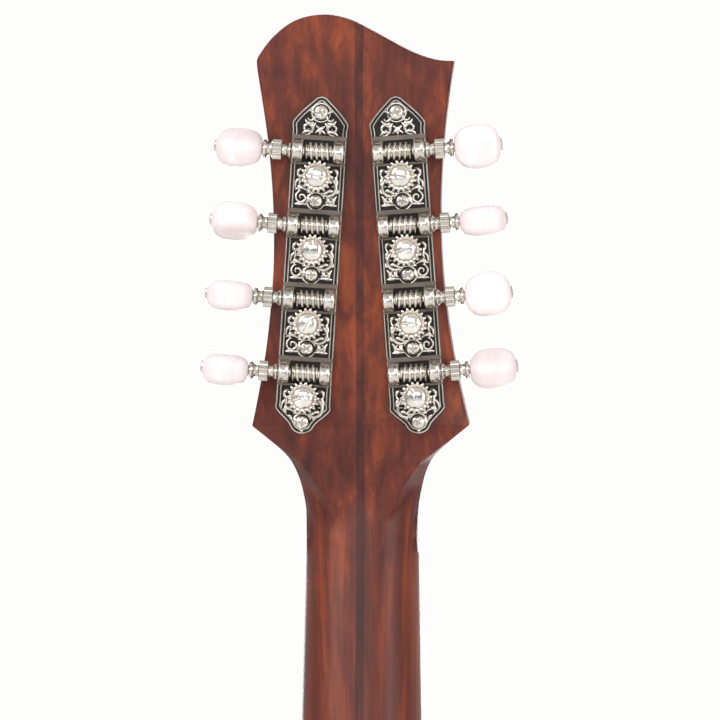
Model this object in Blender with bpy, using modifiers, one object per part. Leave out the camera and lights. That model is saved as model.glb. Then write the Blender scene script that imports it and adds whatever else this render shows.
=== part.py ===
"""An octave-size mandolin with a carved body, in metres.

+Z runs along the neck, the strings face -Y and the back faces +Y, so the bass side is -X.
The origin is the middle of the end pin's outer face. Every object is one piece of the instrument,
and each moving piece has its origin, or its parent empty, on the axis it moves about.
"""

import math

import bmesh
import bpy
from mathutils import Matrix, Vector
from mathutils.geometry import interpolate_bezier

MM = 0.001
GAP = 0.3 * MM

# Body: the outline lies in the XZ plane, measured up from the body's lower end.
BODY_Z = 14 * MM
BODY_LENGTH = 400 * MM
BODY_HALF_WIDTH = 159 * MM
WAIST_Z = 140 * MM
SHOULDER_HALF = 27 * MM
ARCH_Z = 150 * MM
RIM_HALF_DEPTH = 25.2 * MM
RIM_WALL = 2.3 * MM
PLATE_WALL = 4 * MM
BINDING_WALL = 2 * MM
TOP_RISE = 15 * MM
BACK_RISE = 12 * MM
PLATE_FACE = RIM_HALF_DEPTH + GAP + PLATE_WALL

# Neck: its frame has the fingerboard's face at y = 0 and the nut at z = 0.
SCALE_LENGTH = 578 * MM
NECK_ANGLE = math.radians(4.5)
BODY_FRET = 14
BOARD_LIFT = 9 * MM
BOARD_LENGTH = 409 * MM
BOARD_THICKNESS = 5.2 * MM
NUT_HALF = 17.65 * MM
NUT_LENGTH = 4.4 * MM
NECK_TAPER = 0.0195
NECK_BACK = 21.5 * MM
HEEL_BACK = 71 * MM
HEEL_START = -262 * MM
STRIP_HALF = 1.3 * MM
SECTION_STEPS = 12
ROD_RADIUS = 2 * MM
ROD_Y = 10.5 * MM
ROD_NUT_RADIUS = 3.4 * MM
BOARD_RISER_HALF = 21 * MM

# Headstock: its frame has the overlay's face at y = 0, z runs up it from the nut.
HEAD_ANGLE = math.radians(14)
HEAD_DROP = 3 * MM
HEAD_THICKNESS = 15 * MM
OVERLAY_THICKNESS = 1.8 * MM
HEAD_SIDE = (
    (17.2, 5.2), (17.6, 14.6), (18.5, 20), (20.1, 26.1), (22.9, 31.5), (27.3, 35.9), (33.8, 41.2),
    (32.4, 47.5), (30.85, 55), (28.9, 66), (27.4, 78), (26.2, 92.5), (26.05, 108), (26.5, 119.5),
    (27.6, 132.3), (29.2, 144.5),
)
HEAD_LEAN = 0.0118
HEAD_CORNER_Z = 41.2
HEAD_TOP = (
    (31.8, 154.4), (31.1, 156.6), (26.5, 162.5), (19.8, 167.4), (11.6, 169.2), (3.9, 168),
    (-5.3, 163.6), (-14.8, 158.4), (-20.5, 156), (-24.8, 154.9), (-29.5, 154.6),
)
POCKET_LOW = (-4.6 * MM, -6 * MM, 5.2 * MM)
POCKET_HIGH = (4.6 * MM, 14.8 * MM, 24 * MM)

# Tuners: their frame has the gear's axis at x = z = 0, x outwards and y towards the back.
TUNER_PITCH = 23 * MM
TUNER_COUNT = 4
TOP_GEAR_Z = 119.1 * MM
TOP_GEAR_X = 13 * MM
PLATE_FLARE = math.asin(4.6 / 69)
PLATE_HALF = 8.5
PLATE_THICKNESS = 1.2 * MM
PLATE_BACK = HEAD_THICKNESS + GAP + PLATE_THICKNESS
SHAFT_Y = PLATE_BACK + 3.4 * MM
SHAFT_Z = 7.6 * MM
JOURNAL_RADIUS = 1.45 * MM
LUG_INNER = 4.6 * MM
LUG_OUTER = 8.2 * MM
LUG_HALF = 3.4 * MM
GEAR_TEETH = 18
GEAR_POINTS = 4
GEAR_RADIUS = 4.8 * MM
GEAR_TOOTH = 0.4 * MM
GEAR_HALF_THICKNESS = 1.3 * MM
WORM_RADIUS = 2.35 * MM
WORM_TOOTH = 0.45 * MM
WORM_TURNS = 5
WORM_PITCH = 2 * math.pi * 4.87 * MM / GEAR_TEETH
WORM_SIDES = 8
WORM_STEPS = 4
POST_RADIUS = 3 * MM
POST_FRONT = -11.5 * MM
BUTTON_START = 17.3 * MM
BUTTON_SIZE = (14.6 * MM, 9.8 * MM, 14.4 * MM)
BUTTON_ROUND = 3.9 * MM
STRING_AT_POST = 4.5 * MM

# Strings and what they rest on. Every tuner and string is named by its note, counted from the edge:
# its side, its place from the nut, its string's radius in mm and its button's turn in degrees.
STRINGS = {
    "g1": ("bass", 0, 0.58, 62), "g2": ("bass", 1, 0.58, 5),
    "d1": ("bass", 2, 0.40, 87), "d2": ("bass", 3, 0.40, 0),
    "e1": ("treble", 0, 0.15, 84), "e2": ("treble", 1, 0.15, 88),
    "a1": ("treble", 2, 0.28, -64), "a2": ("treble", 3, 0.28, 66),
}
NUT_COURSES = (14.2 * MM, 12 * MM, 5.5 * MM, 3.3 * MM)
SADDLE_COURSES = (21.5 * MM, 18.4 * MM, 8.8 * MM, 5.7 * MM)
NUT_TOP = -1 * MM
SADDLE_ACTION = 5 * MM
SADDLE_HALF = 46 * MM
SADDLE_DEPTH = 5 * MM
SADDLE_HEIGHT = 9 * MM
WHEEL_X = 34 * MM
WHEEL_RADIUS = 5.5 * MM
WHEEL_THICKNESS = 2 * MM
STUD_RADIUS = 1.5 * MM
BASE_HALF = 58 * MM
BASE_DEPTH = 12 * MM
SADDLE_TRAVEL = 1.5 * MM

# Tailpiece and end pin.
TAIL_HALF = 14 * MM
TAIL_SHEET = 1.2 * MM
HOOK_Z = 62 * MM
HOOK_Y = -46 * MM
COVER_WALL = 0.9 * MM
PIN_RADIUS = 3.5 * MM
PIN_HEAD = 5.5 * MM

CUT_REACH = 60 * MM


def new_collection(name):
    collection = bpy.data.collections.new(name)
    bpy.context.scene.collection.children.link(collection)
    return collection


def material(name, colour, roughness, metallic=0.0):
    made = bpy.data.materials.new(name)
    made.use_nodes = True
    shader = made.node_tree.nodes["Principled BSDF"]
    shader.inputs["Base Color"].default_value = (*colour, 1)
    shader.inputs["Roughness"].default_value = roughness
    shader.inputs["Metallic"].default_value = metallic
    made.diffuse_color = (*colour, 1)
    return made


def empty(name, parent=None, location=(0, 0, 0), rotation=(0, 0, 0)):
    made = bpy.data.objects.new(name, None)
    made.empty_display_size = 10 * MM
    made.parent = parent
    made.location = location
    made.rotation_euler = rotation
    parts.objects.link(made)
    return made


def finish(obj, surface, parent=None):
    """Moves a piece into the parts' collection and gives it its material and frame."""
    for owner in list(obj.users_collection):
        owner.objects.unlink(obj)
    parts.objects.link(obj)
    obj.data.materials.clear()
    obj.data.materials.append(surface)
    obj.parent = parent
    if obj.type == "MESH":
        obj.data.shade_smooth()
        obj.data.set_sharp_from_angle(angle=math.radians(35))
    return obj


def link(bm, name):
    """Makes an object of a mesh in progress."""
    mesh = bpy.data.meshes.new(name)
    bm.to_mesh(mesh)
    bm.free()
    obj = bpy.data.objects.new(name, mesh)
    parts.objects.link(obj)
    return obj


def object_of(bm, name):
    """A closed solid with its faces turned outwards."""
    bmesh.ops.recalc_face_normals(bm, faces=bm.faces)
    return link(bm, name)


def sheet(bm, name):
    """An open surface, turned so that it looks away from the middle of the body."""
    bmesh.ops.recalc_face_normals(bm, faces=bm.faces)
    bm.faces.ensure_lookup_table()
    face = bm.faces[0]
    if face.normal.dot(face.calc_center_median() - Vector((0, 0, BODY_Z + ARCH_Z))) < 0:
        bmesh.ops.reverse_faces(bm, faces=bm.faces)
    return link(bm, name)


def box(name, low, high):
    bm = bmesh.new()
    bmesh.ops.create_cube(bm, size=1)
    low = Vector(low)
    high = Vector(high)
    bmesh.ops.transform(bm, matrix=Matrix.Diagonal((*(high - low), 1)), verts=bm.verts)
    bmesh.ops.translate(bm, vec=(low + high) / 2, verts=bm.verts)
    return object_of(bm, name)


def rod(name, start, end, radius, sides=16, end_radius=None):
    """A cylinder, or a cone, between two points."""
    bm = bmesh.new()
    start = Vector(start)
    along = Vector(end) - start
    bmesh.ops.create_cone(
        bm, cap_ends=True, segments=sides, depth=along.length,
        radius1=radius, radius2=radius if end_radius is None else end_radius,
    )
    turn = along.to_track_quat("Z", "Y").to_matrix().to_4x4()
    bmesh.ops.transform(bm, matrix=Matrix.Translation(start + along / 2) @ turn, verts=bm.verts)
    return object_of(bm, name)


def loft(name, rings):
    """A closed solid through rings that all have the same number of points."""
    bm = bmesh.new()
    rows = [[bm.verts.new(point) for point in ring] for ring in rings]
    for first, second in zip(rows, rows[1:]):
        for i in range(len(first)):
            j = (i + 1) % len(first)
            bm.faces.new((first[i], first[j], second[j], second[i]))
    bm.faces.new(rows[0])
    bm.faces.new(rows[-1])
    return object_of(bm, name)


def outline_solid(name, points, low, high):
    """A flat outline in X and Z, as a filled 2D curve extruded from y = low to y = high."""
    curve = bpy.data.curves.new(name, "CURVE")
    curve.dimensions = "2D"
    curve.fill_mode = "BOTH"
    curve.extrude = (high - low) / 2
    spline = curve.splines.new("POLY")
    spline.points.add(len(points) - 1)
    for point, (x, z) in zip(spline.points, points):
        point.co = (x, z, 0, 1)
    spline.use_cyclic_u = True
    flat = bpy.data.objects.new(name, curve)
    parts.objects.link(flat)
    upright = Matrix.Translation((0, (low + high) / 2, 0)) @ Matrix.Rotation(math.pi / 2, 4, "X")
    solid = mesh_copy(flat)
    solid.data.transform(upright)
    return solid


def mesh_copy(curve_object):
    """The curve object as a mesh with its caps welded, in the curve's place."""
    name = curve_object.name
    shape = curve_object.evaluated_get(bpy.context.evaluated_depsgraph_get())
    mesh = bpy.data.meshes.new_from_object(shape)
    place = curve_object.matrix_world.copy()
    bpy.data.objects.remove(curve_object)
    bm = bmesh.new()
    bm.from_mesh(mesh)
    bmesh.ops.remove_doubles(bm, verts=bm.verts, dist=1e-6)
    obj = object_of(bm, name)
    obj.matrix_world = place
    return obj


def combine(obj, other, operation):
    """Applies a Boolean with another solid, which stays as it is."""
    modifier = obj.modifiers.new(other.name, "BOOLEAN")
    modifier.operation = operation
    modifier.solver = "EXACT"
    modifier.object = other
    bpy.context.view_layer.update()
    shape = obj.evaluated_get(bpy.context.evaluated_depsgraph_get())
    mesh = bpy.data.meshes.new_from_object(shape)
    obj.modifiers.clear()
    obj.data = mesh


def cut(obj, cutter, operation="DIFFERENCE"):
    """Cuts with a tool that is kept, as a wire, among the cutters."""
    combine(obj, cutter, operation)
    if cutter.name not in cutters.objects:
        for owner in list(cutter.users_collection):
            owner.objects.unlink(cutter)
        cutters.objects.link(cutter)
        cutter.hide_render = True
        cutter.display_type = "WIRE"


def join(obj, other):
    """Fuses another solid into this one."""
    combine(obj, other, "UNION")
    bpy.data.objects.remove(other)


def solidify(obj, wall, offset=-1):
    modifier = obj.modifiers.new("wall", "SOLIDIFY")
    modifier.thickness = wall
    modifier.offset = offset
    modifier.use_even_offset = True
    return obj


# ---------------------------------------------------------------------------------------------
# The body's outline and its arched plates


def body_outline(inset=0.0, steps=8):
    """Points (x, z) round the body, anticlockwise from the lower end, moved in by the inset."""
    waist = Vector((BODY_HALF_WIDTH, WAIST_Z))
    lower = interpolate_bezier((0, 0), (95 * MM, 0), (BODY_HALF_WIDTH, 60 * MM), waist, steps + 1)
    upper = interpolate_bezier(
        waist, (BODY_HALF_WIDTH, 240 * MM), (95 * MM, 345 * MM), (SHOULDER_HALF, BODY_LENGTH),
        steps + 1,
    )
    half = [Vector(point) for point in lower + upper[1:]]
    loop = half + [Vector((-point.x, point.y)) for point in reversed(half[1:])]
    moved = []
    for i, point in enumerate(loop):
        before = (point - loop[i - 1]).normalized()
        after = (loop[(i + 1) % len(loop)] - point).normalized()
        normal = Vector((-(before + after).y, (before + after).x)).normalized()
        stretch = normal.dot(Vector((-after.y, after.x)))
        moved.append(point + normal * inset / stretch)
    return moved


def arch(scale):
    """Height of a carved plate, as a part of its rise, on the outline scaled about the arch's centre."""
    return math.cos(scale * math.pi / 2) ** 2


def scale_at(x, z, loop):
    """How far a point lies from the arch's centre, as a part of the way out to the outline."""
    centre = Vector((0, ARCH_Z))
    ray = Vector((x, z)) - centre
    for i, start in enumerate(loop):
        side = loop[(i + 1) % len(loop)] - start
        span = ray.x * side.y - ray.y * side.x
        if abs(span) < 1e-12:
            continue
        away = start - centre
        along = (away.x * side.y - away.y * side.x) / span
        across = (away.x * ray.y - away.y * ray.x) / span
        if along > 0 and 0 <= across <= 1:
            return 1 / along
    return 0.0


def arched_plate(name, facing, rise):
    """A carved shell: the outline drawn in, ring by ring, to the arch's top, with a wall."""
    bm = bmesh.new()
    loop = body_outline(BINDING_WALL + GAP)
    verts = [bm.verts.new((p.x, facing * PLATE_FACE, BODY_Z + p.y)) for p in loop]
    ring = [bm.edges.new((verts[i - 1], verts[i])) for i in range(len(verts))]
    centre = Vector((0, 0, BODY_Z + ARCH_Z))
    scales = (1, 0.9, 0.75, 0.58, 0.4, 0.2)
    for previous, scale in zip(scales, scales[1:]):
        made = bmesh.ops.extrude_edge_only(bm, edges=ring)["geom"]
        ring = [item for item in made if isinstance(item, bmesh.types.BMEdge)]
        for vert in {vert for edge in ring for vert in edge.verts}:
            vert.co = centre + (vert.co - centre) * scale / previous
            vert.co.y = facing * (PLATE_FACE + rise * arch(scale))
    cap = bmesh.ops.edgeloop_fill(bm, edges=ring)["faces"]
    peak = bmesh.ops.poke(bm, faces=cap)["verts"][0]
    peak.co = (0, facing * (PLATE_FACE + rise), BODY_Z + ARCH_Z)
    return solidify(sheet(bm, name), PLATE_WALL)


def band(name, front, back, wall):
    """A wall standing round the body's outline, from y = front to y = back."""
    bm = bmesh.new()
    verts = [bm.verts.new((p.x, front, BODY_Z + p.y)) for p in body_outline()]
    ring = [bm.edges.new((verts[i - 1], verts[i])) for i in range(len(verts))]
    made = bmesh.ops.extrude_edge_only(bm, edges=ring)["geom"]
    for item in made:
        if isinstance(item, bmesh.types.BMVert):
            item.co.y = back
    return solidify(sheet(bm, name), wall)


def sound_hole_tools(side):
    """The cutters of one f-shaped sound hole: a curved slot and the round hole at each of its ends."""
    curve = bpy.data.curves.new("sound_hole_slot", "CURVE")
    curve.dimensions = "2D"
    curve.resolution_u = 6
    curve.extrude = CUT_REACH / 2
    spline = curve.splines.new("BEZIER")
    spline.bezier_points.add(2)
    knots = (
        ((92, 118), (103, 128)), ((84, 168), (82, 190)), ((62, 214), (75, 212)),
    )
    for point, (place, onward) in zip(spline.bezier_points, knots):
        point.co = (side * place[0] * MM, place[1] * MM, 0)
        point.handle_right = (side * onward[0] * MM, onward[1] * MM, 0)
        point.handle_left = 2 * point.co - point.handle_right
    slot = bpy.data.objects.new("sound_hole_slot", curve)
    parts.objects.link(slot)
    slot = mesh_copy(slot)
    upright = Matrix.Translation((0, -CUT_REACH / 2, BODY_Z)) @ Matrix.Rotation(math.pi / 2, 4, "X")
    slot.data.transform(upright)
    solidify(slot, 6.5 * MM, 0)
    tools = [slot]
    for (x, z), radius in (((88, 117), 7), ((65, 215), 5.5)):
        low = (side * x * MM, -CUT_REACH, BODY_Z + z * MM)
        high = (side * x * MM, 0, BODY_Z + z * MM)
        tools.append(rod("sound_hole_end", low, high, radius * MM, 14))
    return tools


def make_body():
    binding_front = PLATE_FACE - PLATE_WALL
    finish(band("rim", -RIM_HALF_DEPTH, RIM_HALF_DEPTH, RIM_WALL), maple)
    finish(band("top_binding", -PLATE_FACE, -binding_front, BINDING_WALL), cream)
    finish(band("back_binding", binding_front, PLATE_FACE, BINDING_WALL), cream)
    top = arched_plate("top_plate", -1, TOP_RISE)
    for side in (-1, 1):
        for tool in sound_hole_tools(side):
            cut(top, tool)
    finish(top, spruce)
    finish(arched_plate("back_plate", 1, BACK_RISE), maple)
    inner = RIM_HALF_DEPTH - GAP
    neck_end = BODY_Z + BODY_LENGTH - RIM_WALL - GAP
    low = (-25 * MM, -inner, neck_end - 46 * MM)
    finish(box("neck_block", low, (25 * MM, inner, neck_end)), blocks)
    tail_end = BODY_Z + RIM_WALL + 2.6 * MM
    low = (-22 * MM, -inner, tail_end)
    finish(box("tail_block", low, (22 * MM, inner, tail_end + 22 * MM)), blocks)
    for name, side in (("bass", -1), ("treble", 1)):
        finish(tone_bar(f"tone_bar_{name}", side), spruce)


def tone_bar(name, side):
    """A brace under the top, its upper edge following the arch and its height fading at both ends."""
    loop = body_outline(BINDING_WALL + GAP)
    half = 3.5 * MM
    rings = []
    for step in range(10):
        part = step / 9
        z = (56 + 232 * part) * MM
        x = side * (42 - 16 * part) * MM
        inner = -(PLATE_FACE + TOP_RISE * arch(scale_at(x, z, loop))) + PLATE_WALL + 1.1 * MM
        depth = (3 + 8 * math.sin(math.pi * part) ** 0.6) * MM
        corners = ((-half, inner), (half, inner), (half, inner + depth), (-half, inner + depth))
        rings.append([(x + dx, y, BODY_Z + z) for dx, y in corners])
    return loft(name, rings)


# ---------------------------------------------------------------------------------------------
# Neck, headstock and fingerboard


def board_half(z):
    """Half the fingerboard's width at a height in the neck's frame."""
    return NUT_HALF - NECK_TAPER * z


def head_half(z):
    """Half the headstock's width at a height above the nut, below its top."""
    height = z / MM
    for (low_x, low_z), (high_x, high_z) in zip(HEAD_SIDE, HEAD_SIDE[1:]):
        if height <= high_z:
            part = max(0.0, (height - low_z) / (high_z - low_z))
            return (low_x + (high_x - low_x) * part) * MM
    return HEAD_SIDE[-1][0] * MM


def head_outline():
    """The headstock's outline, up its treble side, over the top and down its bass side."""
    side = [(x, z, HEAD_LEAN * max(0.0, z - HEAD_CORNER_Z)) for x, z in HEAD_SIDE]
    treble = [(lean + x, z) for x, z, lean in side]
    bass = [(lean - x, z) for x, z, lean in reversed(side)]
    return [(x * MM, z * MM) for x, z in treble + list(HEAD_TOP) + bass]


def section(half, front, back, power, place):
    """A neck section: flat in front, with a superellipse behind it, put in place by a matrix."""
    points = []
    for step in range(SECTION_STEPS + 1):
        angle = math.pi * step / SECTION_STEPS
        across = round(math.cos(angle), 9)
        x = math.copysign(abs(across) ** (2 / power), across) * half
        y = front + (back - front) * round(math.sin(angle), 9) ** (2 / power)
        points.append(place @ Vector((x, y, 0)))
    return points


def neck_solid(heel_end, to_neck):
    """The neck's wood in one: heel, shaft, the blend to the headstock, and the headstock."""
    wood_front = BOARD_THICKNESS + GAP
    rings = []
    heel = [heel_end + (HEEL_START - heel_end) * part for part in (0, 0.12, 0.26, 0.42, 0.6, 0.8)]
    for z in (*heel, HEEL_START, -200 * MM, -130 * MM, -60 * MM, -25 * MM, -1.5 * MM):
        sweep = max(0.0, (HEEL_START - z) / (HEEL_START - heel_end))
        back = NECK_BACK - 0.0115 * z
        back += (HEEL_BACK - back) * sweep ** 1.8
        place = Matrix.Translation((0, 0, z))
        place[2][1] = sweep * math.tan(NECK_ANGLE)
        rings.append(section(board_half(z) - 0.5 * MM, wood_front, back, 2.15 + 0.6 * sweep, place))
    front = OVERLAY_THICKNESS + GAP
    blend = (
        (5.5, 2.3, 2.9), (10, 2.6, 1.6), (15, 3, 0.7), (20, 3.5, 0.2), (26, 4.4, 0), (31.5, 5.8, 0),
        (36, 8, 0), (39, 12, 0), (40.6, 18, 0),
    )
    for z, power, proud in blend:
        place = to_neck @ Matrix.Translation((0, 0, z * MM))
        rings.append(section(head_half(z * MM), front, HEAD_THICKNESS + proud * MM, power, place))
    inside = 0.1 * MM
    place = to_neck @ Matrix.Translation((0, 0, 44 * MM))
    rings.append(section(31 * MM, front + inside, HEAD_THICKNESS - inside, 20, place))
    wood = loft("neck_wood", rings)
    upper = [(x, z) for x, z in head_outline() if z >= 41 * MM]
    slab = outline_solid("headstock_slab", upper, front, HEAD_THICKNESS)
    slab.data.transform(to_neck)
    join(wood, slab)
    low = (-BOARD_RISER_HALF, BOARD_THICKNESS + 0.4 * MM, -392 * MM)
    join(wood, box("board_riser", low, (BOARD_RISER_HALF, 8.4 * MM, -318 * MM)))
    return wood


def head_tools(to_neck):
    """The pocket round the truss rod's nut and the eight holes for posts, in the neck's frame."""
    tools = [box("nut_pocket_tool", POCKET_LOW, POCKET_HIGH)]
    for side in (-1, 1):
        for index in range(TUNER_COUNT):
            x, z = gear_place(side, index)
            low = to_neck @ Vector((x, -8 * MM, z))
            high = to_neck @ Vector((x, HEAD_THICKNESS + 4 * MM, z))
            tools.append(rod("post_hole_tool", low, high, POST_RADIUS + 0.4 * MM, 10))
    return tools


def split_neck(wood, frame):
    """Parts the neck's wood into two halves and the dark strip between them."""
    reach = 3 * CUT_REACH
    joint = STRIP_HALF + GAP
    removed = {
        "neck_wood_bass": ((-joint, reach),),
        "neck_centre_strip": ((-reach, -STRIP_HALF), (STRIP_HALF, reach)),
        "neck_wood_treble": ((-reach, joint),),
    }
    for name, spans in removed.items():
        piece = bpy.data.objects.new(name, wood.data.copy())
        parts.objects.link(piece)
        for low_x, high_x in spans:
            cut(piece, box(f"{name}_tool", (low_x, -reach, -0.5), (high_x, reach, 0.3)))
        finish(piece, dark_wood if "strip" in name else stained, frame)
    bpy.data.objects.remove(wood)


def make_neck(frame, head):
    body_end = Vector((0, board_y, BODY_Z + BODY_LENGTH + GAP))
    to_neck = frame.matrix_world.inverted() @ head.matrix_world
    wood = neck_solid((frame.matrix_world.inverted() @ body_end).z, to_neck)
    cut(wood, box("rod_channel_tool", (-3.2 * MM, 0, -300 * MM), (3.2 * MM, 13.6 * MM, 6 * MM)))
    overlay = outline_solid("headstock_overlay", head_outline(), 0, OVERLAY_THICKNESS)
    for tool in head_tools(to_neck):
        cut(wood, tool)
        tool.data.transform(to_neck.inverted())
        cut(overlay, tool)
    split_neck(wood, frame)
    finish(overlay, ebony, head)
    cover = [(-8, 10), (-9, 14), (-8.5, 22), (-6, 30), (-2.5, 36), (0, 37.5)]
    cover += [(-x, z) for x, z in reversed(cover[:-1])]
    cover = [(x * MM, z * MM) for x, z in cover]
    finish(outline_solid("truss_rod_cover", cover, -1.8 * MM, -GAP), ebony, head)


def make_board(frame):
    """The fingerboard, the nut, and the truss rod with its nut."""
    outline = [(-board_half(0), 0), (-board_half(-BOARD_LENGTH), -BOARD_LENGTH)]
    outline += [(-x, z) for x, z in reversed(outline)]
    finish(outline_solid("fingerboard", outline, 0, BOARD_THICKNESS), ebony, frame)
    nut = box("nut", (-NUT_HALF, NUT_TOP, GAP), (NUT_HALF, BOARD_THICKNESS, GAP + NUT_LENGTH))
    finish(nut, bone, frame)
    finish(rod("truss_rod", (0, ROD_Y, -296 * MM), (0, ROD_Y, 14 * MM), ROD_RADIUS, 10), steel, frame)
    rod_nut = rod("truss_rod_nut", (0, 0, -4.5 * MM), (0, 0, 4.5 * MM), ROD_NUT_RADIUS, 6)
    cut(rod_nut, rod("rod_nut_tool", (0, 0, -9 * MM), (0, 0, 9 * MM), ROD_RADIUS + GAP, 10))
    finish(rod_nut, brass, frame)
    rod_nut.location = (0, ROD_Y, 11.5 * MM)


# ---------------------------------------------------------------------------------------------
# Tuning machines


def gear_place(side, index):
    """Where a tuner's gear axis meets the headstock, counted from the nut, in the head's frame."""
    down = (TUNER_COUNT - 1 - index) * TUNER_PITCH
    x = TOP_GEAR_X + down * math.sin(PLATE_FLARE)
    z = TOP_GEAR_Z - down * math.cos(PLATE_FLARE)
    return side * x, z


def tuner_plate(name, side, head):
    """One long plate with a pair of lugs at each tuner, in a frame at the uppermost gear."""
    half = [
        (0, 24.8), (2.1, 23.4), (PLATE_HALF, 16.6), (PLATE_HALF, -72.8), (3.5, -77), (2.5, -79.6),
        (0, -80.5),
    ]
    outline = half + [(-x, z) for x, z in reversed(half[1:-1])]
    outline = [(x * MM, z * MM) for x, z in outline]
    plate = outline_solid(name, outline, PLATE_BACK - PLATE_THICKNESS, PLATE_BACK)
    for index in range(TUNER_COUNT):
        gear_z = -index * TUNER_PITCH
        shaft_z = gear_z + SHAFT_Z
        for low, high in ((-LUG_OUTER, -LUG_INNER), (LUG_INNER, LUG_OUTER)):
            lug_top = SHAFT_Y + 2.8 * MM
            profile = [(-LUG_HALF, PLATE_BACK - 0.6 * MM), (-LUG_HALF, SHAFT_Y + 0.8 * MM),
                       (-1.6 * MM, lug_top), (1.6 * MM, lug_top), (LUG_HALF, SHAFT_Y + 0.8 * MM),
                       (LUG_HALF, PLATE_BACK - 0.6 * MM)]
            rings = [[(x, y, shaft_z + z) for z, y in profile] for x in (low, high)]
            join(plate, loft("lug", rings))
        reach = 12 * MM
        bore = rod(
            "journal_tool", (-reach, SHAFT_Y, shaft_z), (reach, SHAFT_Y, shaft_z),
            JOURNAL_RADIUS + GAP, 8,
        )
        cut(plate, bore)
        hole = rod(
            "gear_hole_tool", (0, 0, gear_z), (0, SHAFT_Y, gear_z), POST_RADIUS + 0.4 * MM, 10
        )
        cut(plate, hole)
    x, z = gear_place(side, TUNER_COUNT - 1)
    finish(plate, nickel, head)
    plate.location = (x, 0, z)
    plate.rotation_euler = (0, -side * PLATE_FLARE, 0)
    return plate


def worm_shaft_mesh(side):
    """The worm, its two journals and the turned stem, along x, mirrored for the bass side."""
    thread = WORM_TURNS * WORM_PITCH / 2
    stations = [(-8.4 * MM, JOURNAL_RADIUS, 0), (-thread - GAP / 3, JOURNAL_RADIUS, 0)]
    for step in range(WORM_TURNS * WORM_STEPS + 1):
        x = -thread + step * WORM_PITCH / WORM_STEPS
        fade = min(1.0, 1.2 * min(step, WORM_TURNS * WORM_STEPS - step) / WORM_STEPS)
        stations.append((x, WORM_RADIUS - WORM_TOOTH * (1 - fade), WORM_TOOTH * fade))
    stem = (
        (8.5, 1.45), (8.5, 2.6), (10.5, 1.8), (12.9, 3), (15.2, 1.8), (17, 2.9), (17, 1.5), (27, 1.5),
    )
    stations.append((thread + GAP / 3, JOURNAL_RADIUS, 0))
    stations += [(x * MM, radius * MM, 0) for x, radius in stem]
    rings = []
    for x, radius, tooth in stations:
        ring = []
        for corner in range(WORM_SIDES):
            angle = 2 * math.pi * corner / WORM_SIDES
            reach = radius + tooth * math.cos(2 * math.pi * x / WORM_PITCH - angle)
            ring.append((side * x, reach * math.sin(angle), -reach * math.cos(angle)))
        rings.append(ring)
    made = loft("worm_shaft", rings)
    mesh = made.data
    bpy.data.objects.remove(made)
    return mesh


def button_mesh(side):
    """A rounded block with a blind bore for the shaft, along x."""
    length, thickness, width = BUTTON_SIZE
    low = (BUTTON_START, -thickness / 2, -width / 2)
    high = (BUTTON_START + length, thickness / 2, width / 2)
    block = box("button", low, high)
    rounding = block.modifiers.new("rounding", "BEVEL")
    rounding.width = BUTTON_ROUND
    rounding.segments = 2
    bore = rod("button_bore_tool", (10 * MM, 0, 0), (27.6 * MM, 0, 0), 1.85 * MM, 8)
    cut(block, bore)
    mesh = block.data
    bpy.data.objects.remove(block)
    if side < 0:
        mesh.transform(Matrix.Rotation(math.pi, 4, "Z"))
    return mesh


def post_mesh():
    """A string post with its toothed wheel on the back end, along y, the gear's middle at y = 0."""
    outline = []
    for corner in range(GEAR_POINTS * GEAR_TEETH):
        angle = 2 * math.pi * corner / (GEAR_POINTS * GEAR_TEETH)
        radius = GEAR_RADIUS - GEAR_TOOTH * math.cos(GEAR_TEETH * angle)
        outline.append((radius * math.sin(angle), radius * math.cos(angle)))
    gear = outline_solid("gear", outline, -GEAR_HALF_THICKNESS, GEAR_HALF_THICKNESS)
    back = GEAR_HALF_THICKNESS + 0.9 * MM
    post = rod("post", (0, POST_FRONT - SHAFT_Y, 0), (0, back, 0), POST_RADIUS, 10)
    join(gear, post)
    mesh = gear.data
    bpy.data.objects.remove(gear)
    return mesh


def make_tuners(head):
    post = post_mesh()
    for name, side in (("bass", -1), ("treble", 1)):
        tuner_plate(f"tuner_plate_{name}", side, head)
        worm = worm_shaft_mesh(side)
        button = button_mesh(side)
        for note, (owner, index, _, button_turn) in STRINGS.items():
            if owner != name:
                continue
            x, z = gear_place(side, index)
            turn = (0, -side * PLATE_FLARE, 0)
            gear_frame = empty(f"gear_axis_{note}", head, (x, SHAFT_Y, z), turn)
            shaft_frame = empty(f"shaft_axis_{note}", gear_frame, (0, 0, SHAFT_Z))
            pieces = (
                (f"string_post_{note}", post, nickel, gear_frame),
                (f"worm_shaft_{note}", worm, nickel, shaft_frame),
                (f"tuner_button_{note}", button, button_white, shaft_frame),
            )
            for piece_name, mesh, surface, frame in pieces:
                piece = bpy.data.objects.new(piece_name, mesh)
                finish(piece, surface, frame)
            piece.rotation_euler = (math.radians(button_turn), 0, 0)


# ---------------------------------------------------------------------------------------------
# Bridge, tailpiece and strings


def saddle_point(frame):
    """The middle of the saddle's crown, in the object's frame."""
    return frame.matrix_world @ Vector((0, -SADDLE_ACTION, -SCALE_LENGTH - 1 * MM))


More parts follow.
